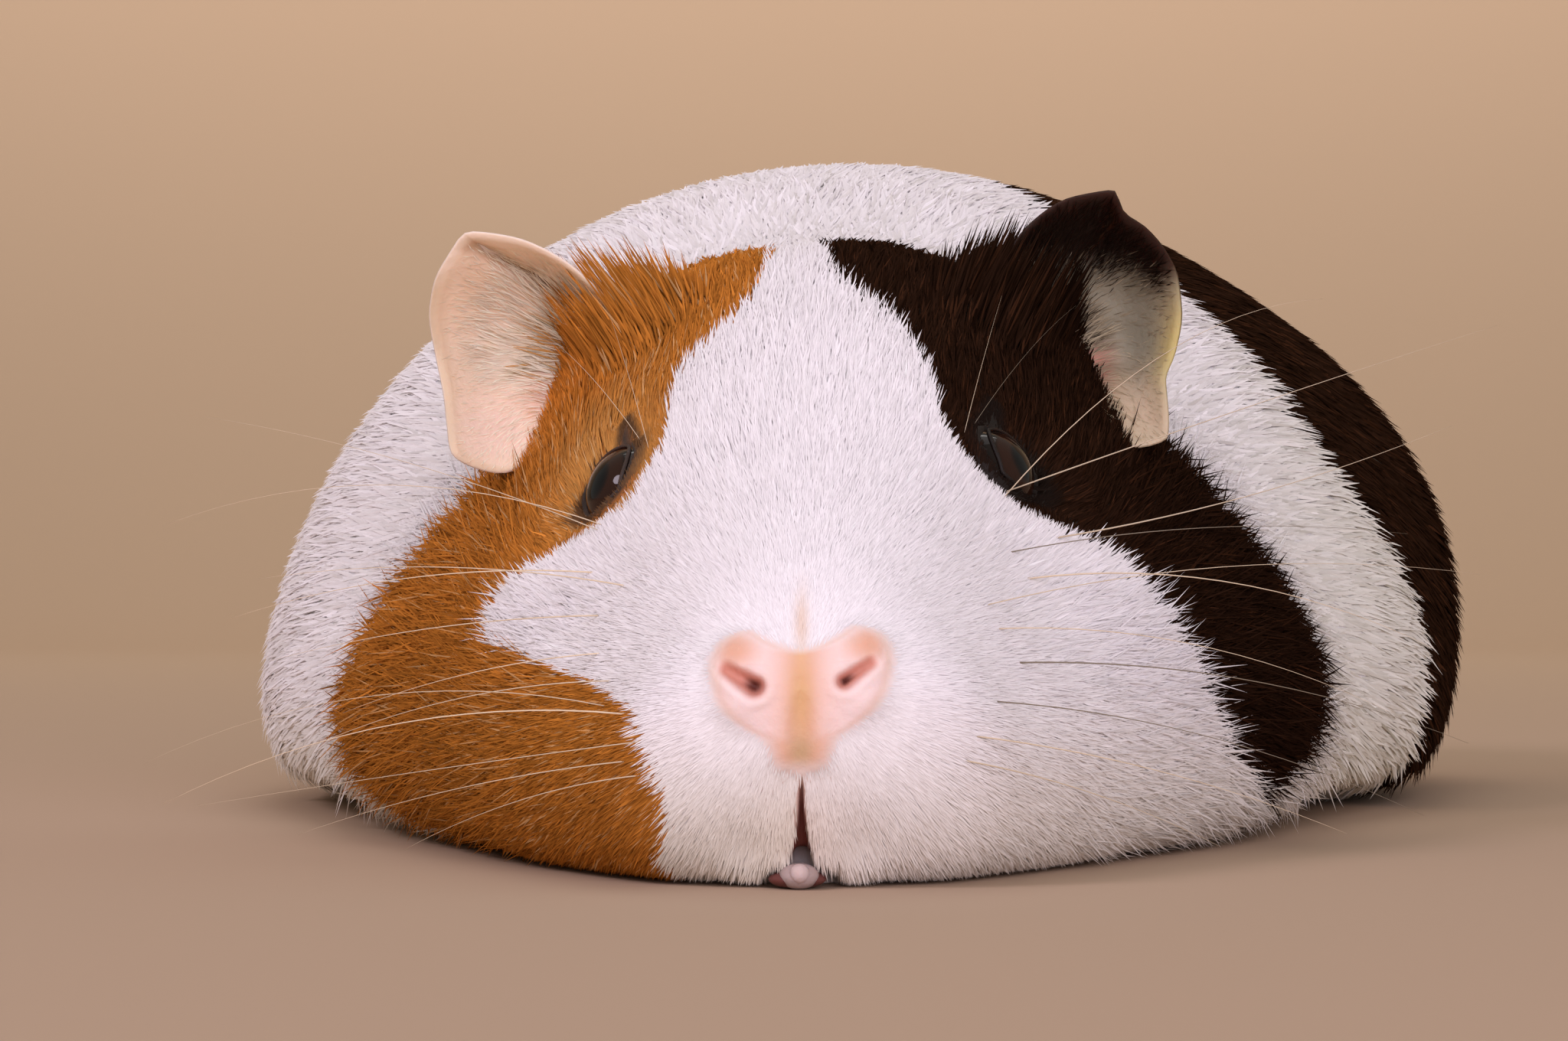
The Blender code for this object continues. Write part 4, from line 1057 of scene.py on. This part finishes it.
def dress(item, u, v, colour, rng, rear=None):
    """Give each tuft its colour, its soft shading and its patch of the map, and keep it above the floor.

    Where rear is 1, as behind an ear, the shading turns toward the hair's tip.
    """
    mesh = item.data
    put(mesh, "coat_colour", "FLOAT_COLOR", np.repeat(np.clip(colour, 0, 1), TUFT_VERTS, axis=0))
    corner = np.empty(len(mesh.loops), np.int32)
    mesh.loops.foreach_get("vertex_index", corner)
    tuft, part = corner // TUFT_VERTS, corner % TUFT_VERTS
    across = np.array((0.5, 0.5, 1.0, 0.0, 0.5))[part]
    along = np.array((0.0, TUFT_WIDEST, TUFT_WIDEST, TUFT_WIDEST, 1.0))[part]
    layer = mesh.uv_layers.new(name="OFBake")
    layer.data.foreach_set("uv", np.stack([u[tuft] + PATCH * across, v[tuft] + PATCH * along], axis=-1)
                           .astype(np.float32).ravel())
    verts = points_of(mesh).reshape(-1, TUFT_VERTS, 3)
    outward = unit(get(mesh, "outward", 3)[::TUFT_VERTS].astype(float))
    onward = get(mesh, "flow", 3)[::TUFT_VERTS].astype(float)
    sideways = unit(np.cross(onward, outward))
    if rear is not None:
        outward = blend(outward, onward + 0.2 * outward, rear)
    far = fade(0.010, 0.10, np.linalg.norm(verts[:, 0] - (NOSE_X, NOSE_Y, NOSE_UP * MM), axis=-1))[:, None]
    stray = SOFT_SHADE[0] + (SOFT_SHADE[1] - SOFT_SHADE[0]) * far
    outward = unit(outward + stray * rng.normal(0, 1, outward.shape))
    shade = np.repeat(outward[:, None], TUFT_VERTS, axis=1)
    under = -outward
    turn = ROUND_SHADE * np.sign(((verts[:, 2] - verts[:, 3]) * sideways).sum(-1))[:, None]
    shade[:, 2] += sideways * turn
    shade[:, 3] -= sideways * turn
    verts[..., 2] = np.maximum(verts[..., 2], TUFT_CLEARS)
    mesh.vertices.foreach_set("co", verts.astype(np.float32).ravel())
    for name in [a.name for a in mesh.attributes if a.name in COAT_ATTRIBUTES]:
        mesh.attributes.remove(mesh.attributes[name])
    shade = unit(shade).reshape(-1, 3)[corner]
    below = np.isin(np.arange(len(corner)) // 3 % TUFT_FACES, TUFT_UNDERSIDE)
    shade = np.where(below[:, None], under[tuft], shade)
    mesh.normals_split_custom_set(shade.astype(np.float32))


def shade_of(patch, rng):
    """Light and dark from tuft to tuft."""
    spread = np.array([0.035, 0.20, 0.30, 0.28])[patch]
    return np.clip(1 + rng.normal(0, 1, len(patch)) * spread, 0.45, 1.7)[:, None]


BUFF = np.array((0.62, 0.34, 0.11))
STRAW_ORANGE = np.array((0.78, 0.52, 0.26))
LIP_ROSE = np.array((0.84, 0.68, 0.60))
# painted shade: the darker yellowish grey that the white coat takes toward the floor
LOW_WHITE_SHADE = np.array((0.80, 0.77, 0.62))
PALE_HAIRS = 0.07    # share of the orange hairs that are pale
BROWN_HAIRS = 0.14   # share of the black hairs that are brown


def tint(colour, patch, side, back, up, rng):
    """Changes of hue over the animal: buff round the right eye, orange darker low down, and painted shade on
    the white.
    """
    orange = (patch == ORANGE)[:, None]
    eye = hill(side + 15.5, 5.0, up - 31.5, 5.5) * (back < 50)
    colour = np.where(orange, blend(colour, BUFF, 0.65 * eye), colour)
    low = 1 - fade(6.0, 24.0, up)
    colour = np.where(orange, blend(colour, colour * (0.86, 0.90, 0.9), low), colour)
    pale = orange & (rng.random(len(patch)) < PALE_HAIRS)[:, None]
    colour = np.where(pale, colour * 0.5 + STRAW_ORANGE * 0.5, colour)
    brown = (patch >= BLACK)[:, None] & (rng.random(len(patch)) < BROWN_HAIRS)[:, None]
    colour = np.where(brown, colour * (1.8, 1.6, 1.4), colour)
    line = hill(side, 0.45, up - 18.6, 2.2) * (back < 6)
    colour = blend(colour, STAIN, 0.45 * line)
    lips = hill(side, 3.2, np.maximum(up - 5.0, 0.0), 3.0) * (back < 9)
    colour = blend(colour, LIP_ROSE, 0.55 * lips)
    white = (patch == WHITE)[:, None]
    # painted shade: the white coat darker and yellower on the flank at the animal's left
    flank = fade(30.0, 50.0, side) * fade(62.0, 80.0, back)
    colour = np.where(white, colour * (1 - flank[..., None] * (0.13, 0.12, 0.20)), colour)
    # painted shade: the white coat darker and yellowish grey toward the floor, more on the animal's right
    low_shade = np.where(side > 0, 0.40, 0.60) * (1 - fade(2.0, 15.0, up))
    return np.where(white, blend(colour, LOW_WHITE_SHADE, low_shade), colour)


def coat_colours(roots, rng, ragged):
    """Colour of each tuft of the body by its root."""
    side, back, up = where_on_animal(roots)
    patch = markings(side, back, up, rng.normal(0.0, ragged, len(roots)))
    colour = tint(COAT_COLOURS[patch] * shade_of(patch, rng), patch, side, back, up, rng)
    for word, eye in eyes.items():
        gap, beside = eye_distances(roots, eye)
        # hair next to the lids takes their own dark colour; over each eye's upper corner the same dark is
        # painted shade
        dark = np.maximum(1 - fade(0.6, 1.7, gap), 1 - fade(0.1, 1.1, beside))
        colour = blend(colour, lid_colour(word), 0.85 * dark)
    return colour


def chart_patch(roots, angles, reach):
    """Place of each tuft on the coat's map, by its angle round the body and distance from the nose."""
    angle, away = chart(*where_on_animal(roots))
    return (MAP_START + MAP_REACH * np.clip((angle - angles[0]) / (angles[1] - angles[0]), 0, 1),
            MAP_START + MAP_REACH * np.clip((away - reach[0]) / (reach[1] - reach[0]), 0, 1))


def ear_colours(word, out, low, facing, rng):
    """Colour of each hair of an ear, by how far out and down the ear its root is."""
    count = len(out)
    light = np.clip(1 + 0.08 * rng.normal(0, 1, count), 0.6, 1.3)[:, None]
    cream = np.tile(np.array((0.97, 0.87, 0.70)), (count, 1))
    if word == "right":
        tan = 0.4 * (1 - fade(0.03, 0.12, 1 - out)) * fade(0.1, 0.2, low)
        colour = blend(cream, (0.60, 0.44, 0.26), tan)
        ginger = rng.random(count) < 0.40 * (1 - fade(0.0, 0.35, out))
        colour = np.where(ginger[:, None], np.array((0.66, 0.34, 0.11)), colour)
        rear = np.array((0.92, 0.82, 0.74))
    else:
        black = SKIN_COLOURS["black_ear"]
        lower = low + 0.05 * rng.normal(0, 1, count)
        rim = (1 - fade(0.16, 0.30, 1 - out)) * (1 - fade(0.30, 0.42, lower))
        root = (1 - fade(0.06, 0.30, out)) * (1 - fade(0.52, 0.62, lower))
        dark = np.maximum.reduce([1 - fade(0.20, 0.36, lower), rim, root, 0.30 * (lower < 0.6)])
        colour = blend(cream * (0.56, 0.52, 0.43), black, dark)
        rear = np.where((low < 0.65)[:, None], black, np.array((0.30, 0.22, 0.16)))
    return np.where((facing > 0.5)[:, None], colour, rear) * light


# ---------------------------------------------------------------- regions of the coat
# Each with the angles round the body and the distances from the nose between which it lies
REGIONS = {
    "coat_muzzle_right": ((-180, 0), (0, 24)),
    "coat_muzzle_left": ((0, 180), (0, 24)),
    "coat_brow": ((-62, 62), (24, 62)),
    "coat_cheek_right": ((-180, -62), (24, 62)),
    "coat_cheek_left": ((62, 180), (24, 62)),
    "coat_crown": ((-180, 180), (62, 94)),
    "coat_back": ((-60, 60), (94, 300)),
    "coat_flank_right": ((-180, -60), (94, 300)),
    "coat_flank_left": ((60, 180), (94, 300)),
}
BODY_TUFTS = 226000
EAR_TUFTS = 5000
GUARD_HAIRS = 9000
GUARD_REACH = (22.0, 92.0)
GUARD_ANGLES = (54.0, 128.0)
# Values that the coat takes over from the skin and doesn't keep
COAT_ATTRIBUTES = ("root", "flow", "outward", "length", "width", "lift", "density", "region", "skin_colour",
                   "ear_place", "ear_low")


def face_values(mesh):
    """Area of each face and one of its vertices."""
    areas = np.empty(len(mesh.polygons), np.float32)
    mesh.polygons.foreach_get("area", areas)
    starts = np.empty(len(mesh.polygons), np.int32)
    mesh.polygons.foreach_get("loop_start", starts)
    corner = np.empty(len(mesh.loops), np.int32)
    mesh.loops.foreach_get("vertex_index", corner)
    return areas, corner[starts]


def prepare_coat():
    """Length, width, lift and density of the coat at each vertex of the skin, and the region of each face."""
    mesh = skin.data
    kind, away, eye_gap, at_ear = facts["kind"], facts["away"], facts["eye_gap"], facts["at_ear"]
    net, right, ear = kind == NET, kind == EAR_RIGHT, (kind == EAR_RIGHT) | (kind == EAR_LEFT)
    verts = points_of(mesh)
    side, back, up = where_on_animal(verts)
    length, width, lift = curve(LENGTH, away), curve(WIDTH, away), curve(LIFT, away)
    near_eye = 1 - fade(0.0, 6.0, eye_gap)
    length = length * (1 - 0.55 * near_eye)
    width = width * (1 - 0.40 * near_eye)
    lift = lift + 0.50 * at_ear
    length = length * (1 + 0.35 * at_ear) * (1 - 0.62 * facts["below_ear"])
    rump = np.linalg.norm(verts - skin_points[-1].mean(axis=0), axis=-1) / MM
    length = length * (0.40 + 0.60 * fade(2.0, 20.0, rump))
    over_eye = (facts["toward_eye"] > 0.0) & (eye_gap < 6.0)
    length = np.where(over_eye, np.minimum(length, 0.45 * eye_gap + 0.35), length)
    # hair over the painted shade in each eye's upper corner stays short, and none grows on it
    length = np.where(facts["eye_corner_shade"] < 1.6, np.minimum(length, 0.9), length)
    under = net & (up < 1.2) & (away > 60)
    density = np.where(under, 0.3, 1.0) / (length * width)
    fuzz = facts["pad"] * net
    length, width = length * (1 - 0.4 * fuzz), width * (1 - 0.3 * fuzz)
    density = density * (1 - fade(0.15, 0.60, fuzz))
    mouth = (np.abs(side) < curve(CLEFT_HALF_WIDTH, up) + 0.3) & (up < 8.4) & (back < 9)
    mouth |= (hill(side, 2.2, up - 0.8, 1.5) > 0.5) & (back < 9)
    density = np.where(net & (eye_gap > 0.55) & (facts["eye_corner_shade"] > 0.0) & ~mouth, density, 0.0)
    out, low = facts["out"], facts["low"]
    edge, inner = 1 - out, facts["facing"] > 0.5
    root = 1 - np.where(right, fade(0.30, 0.95, out), fade(0.02, 0.42, out))
    root = root * (1 - 0.85 * fade(0.50, 0.66, low))
    top_rim = (1 - fade(0.16, 0.32, edge)) * (1 - fade(0.25, 0.4, low))
    band = ~right * np.maximum(1 - fade(0.16, 0.32, low), top_rim)
    length = np.where(ear, np.where(inner, 1.3 + 4.0 * root + 0.6 * band, 1.9), length)
    width = np.where(ear, np.where(inner, 0.07 + 0.06 * root + 0.04 * band, 0.13), width)
    lift = np.where(ear, np.where(inner, 0.16, 0.08), lift)
    thick = np.where(inner, 0.12 + 2.0 * root + 1.4 * band, 1.3)
    thick = thick * np.where(inner, fade(0.05, 0.13, edge), fade(0.16, 0.32, edge))
    density = np.where(ear & (out > -0.1), thick / (length * width), density)
    for name, values in (("length", length * MM), ("width", width * MM), ("lift", lift),
                         ("density", density), ("ear_low", low)):
        put(mesh, name, "FLOAT", values)
    put(mesh, "ear_place", "FLOAT_VECTOR", np.stack([out, facts["turn"], facts["facing"]], axis=-1))
    areas, some = face_values(mesh)
    region = np.full(len(areas), -1, np.int32)
    angle, away, kind = facts["angle"][some], away[some], kind[some]
    for number, ((first, last), (near, far)) in enumerate(REGIONS.values()):
        inside = (angle >= first) & (angle <= last) & (away >= near) & (away < far) & (kind == NET)
        region[inside & (region < 0)] = number
    for number, word in enumerate(SIDES, len(REGIONS)):
        region[kind == EARS[word]] = number
    attribute = mesh.attributes.new("region", "INT", "FACE")
    attribute.data.foreach_set("value", region)
    share = areas * density[some]
    return [float(share[region == number].sum()) for number in range(len(REGIONS) + len(SIDES))]


def prepare_guard_hairs():
    """Change the skin's values to those of the sparse long hairs of the cheeks."""
    mesh = skin.data
    away, angle = facts["away"], np.abs(facts["angle"])
    where = fade(GUARD_REACH[0], 40.0, away) * (1 - fade(78.0, GUARD_REACH[1], away))
    where *= fade(GUARD_ANGLES[0], 76.0, angle) * (1 - fade(118.0, GUARD_ANGLES[1], angle))
    where *= (facts["kind"] == NET) * fade(7.0, 12.0, facts["eye_gap"])
    put(mesh, "density", "FLOAT", where)
    areas, some = face_values(mesh)
    mesh.attributes["region"].data.foreach_set("value", np.zeros(len(areas), np.int32))
    return float((areas * where[some]).sum())


# ---------------------------------------------------------------- finishes
def finish(name, base, rough, **settings):
    """A material whose colour comes from a stored colour or a plain one."""
    made = bpy.data.materials.new(name)
    made.use_nodes = True
    tree = made.node_tree
    shader = tree.nodes["Principled BSDF"]
    shader.inputs["Roughness"].default_value = rough
    for key, value in settings.items():
        shader.inputs[key.replace("_", " ")].default_value = value
    if isinstance(base, str):
        stored = tree.nodes.new("ShaderNodeAttribute")
        stored.attribute_name = base
        tree.links.new(stored.outputs["Color"], shader.inputs["Base Color"])
    else:
        shader.inputs["Base Color"].default_value = (*base, 1)
    return made, tree, shader


def hair_finish():
    """Hair a little darker at its root than at its tip."""
    made, tree, shader = finish("hair", "coat_colour", 0.6, Specular_IOR_Level=0.0)
    along = tree.nodes.new("ShaderNodeAttribute")
    along.attribute_name = "along"
    ramp = tree.nodes.new("ShaderNodeMapRange")
    ramp.inputs["To Min"].default_value = 0.90
    ramp.inputs["To Max"].default_value = 1.06
    tree.links.new(along.outputs["Fac"], ramp.inputs["Value"])
    scale = tree.nodes.new("ShaderNodeVectorMath")
    scale.operation = "SCALE"
    tree.links.new(shader.inputs["Base Color"].links[0].from_socket, scale.inputs[0])
    tree.links.new(ramp.outputs[0], scale.inputs["Scale"])
    tree.links.new(scale.outputs[0], shader.inputs["Base Color"])
    return made


def skin_finish():
    """Skin with a fine grain, in the colours stored on it."""
    made, tree, shader = finish("skin", "skin_colour", 0.55, Specular_IOR_Level=0.18, Subsurface_Weight=0.18)
    shader.inputs["Subsurface Radius"].default_value = (0.0035, 0.0016, 0.0010)
    shader.inputs["Subsurface Scale"].default_value = 1.0
    place_ = tree.nodes.new("ShaderNodeTexCoord")
    grain = tree.nodes.new("ShaderNodeTexNoise")
    grain.inputs["Scale"].default_value = 1400.0
    grain.inputs["Detail"].default_value = 3.0
    bump = tree.nodes.new("ShaderNodeBump")
    bump.inputs["Strength"].default_value = 0.35
    bump.inputs["Distance"].default_value = 0.00025
    tree.links.new(place_.outputs["Object"], grain.inputs["Vector"])
    tree.links.new(grain.outputs["Fac"], bump.inputs["Height"])
    tree.links.new(bump.outputs[0], shader.inputs["Normal"])
    return made


totals = prepare_coat()
shelf = tuft_shapes()
coat = coat_tree(shelf)
hair = hair_finish()
skin.data.materials.append(skin_finish())
coat_pieces = []
rng = np.random.default_rng(7)


def coat_piece(name, number, density, **changes):
    """One grown piece of the coat and the roots of its tufts."""
    settings = {"Region": number, "Density": density, "Length": 1.0, "Width": 1.0, "Lift": 1.0, "Stray": 0.16,
                "Seed": 11 + number, "Hair": hair, **changes}
    piece = grow(coat, name, skin, settings)
    coat_pieces.append(piece)
    return piece, get(piece.data, "root", 3)[::TUFT_VERTS].astype(float)


cover = BODY_TUFTS / sum(totals[:len(REGIONS)])
for number, (name, (angles, reach)) in enumerate(REGIONS.items()):
    piece, roots = coat_piece(name, number, cover)
    dress(piece, *chart_patch(roots, angles, reach), coat_colours(roots, rng, 0.35), rng)
for number, word in enumerate(SIDES, len(REGIONS)):
    piece, roots = coat_piece(f"coat_ear_{word}", number, EAR_TUFTS / totals[number], Stray=0.35)
    out, turn, facing = get(piece.data, "ear_place", 3)[::TUFT_VERTS].astype(float).T
    low = get(piece.data, "ear_low", 1)[::TUFT_VERTS].astype(float).ravel()
    sheet = np.where(facing > 0.5, 0.0, 0.5)
    dress(piece, MAP_START + sheet + EAR_MAP_REACH * np.clip(out, 0, 1),
          MAP_START + MAP_REACH * np.clip(turn, 0, 1),
          ear_colours(word, out, low, facing, rng), rng, rear=1 - facing)
guard_total = prepare_guard_hairs()
piece, roots = coat_piece("coat_guard_hairs", 0, GUARD_HAIRS / guard_total, Length=1.55, Width=0.62, Lift=1.9,
                          Stray=0.30, Seed=51)
dress(piece, *chart_patch(roots, (-180, 180), (0, 100)), coat_colours(roots, rng, 0.8), rng)


# ---------------------------------------------------------------- whiskers
# Each whisker of one side: root (side, up), tip (side, up), and how far its middle bows upward
WHISKERS = {
    "right": (((16.0, 27.5), (52.5, 29.3), 3.2), ((16.5, 27.0), (49.0, 38.0), 1.0),
              ((15.5, 20.5), (42.0, 18.0), 0.8), ((15.0, 17.5), (36.0, 13.7), 0.8),
              ((14.2, 15.5), (41.4, 9.3), 1.6), ((14.4, 13.5), (51.0, 10.0), 3.0),
              ((12.8, 13.0), (48.2, 6.4), 2.6), ((11.5, 11.0), (45.8, 6.2), 0.2),
              ((13.5, 22.5), (44.0, 24.5), 1.2), ((12.5, 9.5), (38.0, 3.5), 0.8),
              ((16.5, 23.5), (47.0, 21.5), 1.4), ((11.5, 8.5), (30.0, 2.2), 1.0)),
    "left": (((16.0, 28.5), (55.5, 40.4), 0.2), ((15.5, 28.0), (41.8, 43.3), 3.5),
             ((19.0, 25.0), (51.4, 32.5), -1.0), ((17.0, 21.5), (49.4, 14.8), 2.4),
             ((16.0, 15.5), (51.0, 8.4), 1.8), ((14.0, 13.0), (46.0, 4.4), 1.6),
             ((15.5, 24.0), (47.5, 24.0), 1.2), ((14.5, 18.0), (45.0, 10.5), 2.0),
             ((12.5, 10.5), (40.0, 3.4), 1.0), ((13.5, 20.0), (52.0, 20.5), 1.8),
             ((11.5, 9.0), (31.0, 2.4), 0.8)),
}
BROW_WHISKERS = (((13.0, 34.5), (22.0, 44.0), 0.8), ((12.2, 34.0), (16.0, 45.0), 0.4))
WHISKER_RADII = (0.065, 0.010)
BROW_THIN = 0.45
WHISKER_STEPS = 16
WHISKER_SIDES = 5
WHISKER_SWEEP = 9.0
STRAW = np.array((0.74, 0.60, 0.42))


def whisker(word, root, tip, bow_up, thin, rng):
    """Verts and faces of one tapering hair from the skin outward."""
    hand = SIDES[word]
    gap = np.hypot(side - hand * root[0], up - root[1]) + 2.0 * (back > 60)
    nearest = np.unravel_index(gap.argmin(), gap.shape)
    start = skin_points[nearest]
    end = place(hand * tip[0], float(back[nearest]) + WHISKER_SWEEP * (0.6 + 0.8 * rng.random()), tip[1])
    middle = (start + end) / 2 + np.array((0.0, -0.05 * np.linalg.norm(end - start), bow_up * MM))
    share = np.linspace(0.0, 1.0, WHISKER_STEPS)
    spine = bow((start, middle, end), share)
    along = unit(np.gradient(spine, axis=0))
    first = unit(np.cross(along, (0.0, 0.0, 1.0)))
    second = np.cross(along, first)
    turn = 2 * np.pi * np.arange(WHISKER_SIDES) / WHISKER_SIDES
    radius = WHISKER_RADII[0] + (WHISKER_RADII[1] - WHISKER_RADII[0]) * share ** 0.8
    radius = thin * radius[:, None, None] * MM
    rings = spine[:, None] + radius * (first[:, None] * np.cos(turn)[None, :, None]
                                       + second[:, None] * np.sin(turn)[None, :, None])
    verts = np.concatenate([[spine[0], spine[-1]], rings.reshape(-1, 3)])
    return verts, [face[::-1] for face in net_faces(WHISKER_STEPS, WHISKER_SIDES)]


def make_whiskers():
    """All the whiskers as one object."""
    rng = np.random.default_rng(3)
    parts, colours = [], []
    for word, rows in WHISKERS.items():
        for number, (root, tip, bow_up) in enumerate(rows + BROW_WHISKERS):
            thin = 1.0 if number < len(rows) else BROW_THIN
            parts.append(whisker(word, root, tip, bow_up, thin * (0.7 + 0.5 * rng.random()), rng))
            dark = 0.35 if rng.random() < 0.2 else 0.85 + 0.3 * rng.random()
            dark *= 1.0 if word == "right" else 0.85
            colours += [STRAW * dark] * len(parts[-1][0])
    item = mesh_object("whiskers", *joined(parts))
    put(item.data, "whisker_colour", "FLOAT_COLOR", np.array(colours))
    item.data.materials.append(finish("whisker", "whisker_colour", 0.35, Specular_IOR_Level=0.4)[0])
    return item


whiskers = make_whiskers()
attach(whiskers, "root")


# ---------------------------------------------------------------- eyes
PUPIL = (0.0030, 0.0025, 0.003)
IRIS = (0.024, 0.009, 0.005)
EYE_EDGE = (0.008, 0.005, 0.004)
PUPIL_ENDS = (21.0, 24.0)   # degrees from the middle of the eye
IRIS_ENDS = (39.0, 45.0)
EYEBALL_NET = (64, 40)
eye_gloss = finish("eye_gloss", "eye_colour", 0.06, IOR=1.34)[0]


def make_eye(word):
    """One glossy eyeball."""
    centre, out, ahead, upward = eyes[word]
    spin = np.stack([ahead, upward, out], axis=-1)
    verts, faces = ball_parts(centre, (EYE_RADIUS, EYE_RADIUS, EYE_RADIUS), *EYEBALL_NET, spin)
    item = mesh_object(f"eyeball_{word}", verts, faces)
    tilt = np.degrees(np.arccos(np.clip(unit(verts - centre) @ out, -1, 1)))
    colour = blend(np.tile(PUPIL, (len(verts), 1)), IRIS, fade(*PUPIL_ENDS, tilt))
    put(item.data, "eye_colour", "FLOAT_COLOR", blend(colour, EYE_EDGE, fade(*IRIS_ENDS, tilt)))
    item.data.materials.append(eye_gloss)
    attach(item, "root")
    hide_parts(f"eye_{word}")


for word in SIDES:
    make_eye(word)


# ---------------------------------------------------------------- claws
claw_finish = finish("claw_horn", (0.50, 0.40, 0.31), 0.32)[0]
for foot, toes in (("fore", 4), ("hind", 3)):
    for word in SIDES:
        names = [f"{foot}_claw_{word}_{n}" for n in range(1, toes + 1)]
        item = mesh_object(f"{foot}_claws_{word}", *joined([merged_copy(name, 2) for name in names]))
        item.data.materials.append(claw_finish)
        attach(item, "root")
        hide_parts(*names)


# ---------------------------------------------------------------- floor, light and camera
FLOOR_COLOUR = np.array((0.50, 0.365, 0.26))
WALL_COLOUR = np.array((0.93, 0.66, 0.46))
FLOOR_REACH = 3.0
WALL_PLACE = 2.2
WALL_BEND = 0.8
WALL_HEIGHT = 2.6
WALL_STEPS = 16
# Camera: how far ahead of the nose's tip, how far to its right and how high it stands, in millimetres,
# its lens on a sensor 36 mm wide, and how steeply it looks up
CAMERA_AHEAD = 283.0
CAMERA_ASIDE = 1.2
CAMERA_UP = 20.5
SENSOR = 36.0
LENS = 91.40625
CAMERA_RISE = 11 / 520


def stage():
    """A plain pale floor that rises into a backdrop behind the animal, with soft light and the camera."""
    line = [(-FLOOR_REACH, 0.0), (WALL_PLACE - WALL_BEND, 0.0)]
    for step in range(1, WALL_STEPS + 1):
        turn = math.pi / 2 * step / WALL_STEPS
        line.append((WALL_PLACE - WALL_BEND + WALL_BEND * math.sin(turn), WALL_BEND * (1 - math.cos(turn))))
    line.append((WALL_PLACE, WALL_HEIGHT))
    verts = [(x, y, z) for y, z in line for x in (-FLOOR_REACH, FLOOR_REACH)]
    faces = [(2 * i, 2 * i + 1, 2 * i + 3, 2 * i + 2) for i in range(len(line) - 1)]
    floor = mesh_object("floor", verts, faces)
    high = fade(0.0, WALL_BEND, np.array(verts)[:, 2])
    colour = blend(np.tile(FLOOR_COLOUR, (len(verts), 1)), WALL_COLOUR, high)
    put(floor.data, "floor_colour", "FLOAT_COLOR", colour)
    floor.data.materials.append(finish("floor_finish", "floor_colour", 0.85, Specular_IOR_Level=0.2)[0])
    world = bpy.data.worlds.new("studio")
    bpy.context.scene.world = world
    world.use_nodes = True
    back_light = world.node_tree.nodes["Background"]
    back_light.inputs["Color"].default_value = (1.0, 0.97, 0.86, 1)
    back_light.inputs["Strength"].default_value = 0.33

    def lamp(name, where, size, power, colour, aim=(0, -0.06, 0.03)):
        data = bpy.data.lights.new(name, "AREA")
        data.shape = "DISK"
        data.size = size
        data.energy = power
        data.color = colour
        item = bpy.data.objects.new(name, data)
        item.location = where
        item.rotation_mode = "QUATERNION"
        item.rotation_quaternion = (Vector(aim) - Vector(where)).to_track_quat("-Z", "Y")
        bpy.context.scene.collection.objects.link(item)

    lamp("key", (-0.90, -0.76, 0.83), 0.45, 5.8, (1.0, 0.86, 1.0))
    lamp("front", (0.28, -1.3, 0.36), 0.9, 11.4, (0.95, 0.85, 1.0))
    lamp("top", (0.0, 0.25, 1.15), 0.8, 1.0, (1.0, 0.93, 0.95))
    lamp("wall", (0.0, 0.9, 1.7), 1.2, 14.0, (1.0, 0.96, 0.92), (0.0, 2.3, 0.7))

    camera = bpy.data.objects.new("camera", bpy.data.cameras.new("camera"))
    camera.data.sensor_width = SENSOR
    camera.data.lens = LENS
    camera.data.clip_start = 0.01
    camera.location = (NOSE_X - CAMERA_ASIDE * MM, NOSE_Y - CAMERA_AHEAD * MM, CAMERA_UP * MM)
    camera.rotation_mode = "XYZ"
    camera.rotation_euler = (math.pi / 2 + math.atan(CAMERA_RISE), 0, 0)
    bpy.context.scene.collection.objects.link(camera)
    bpy.context.scene.camera = camera
    bpy.context.scene.view_settings.view_transform = "Standard"


stage()
for item in list(shelf.objects):
    bpy.data.objects.remove(item)
bpy.data.collections.remove(shelf)
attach(skin, "root")
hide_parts(*FLESH)
for piece in coat_pieces:
    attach(piece, "root")
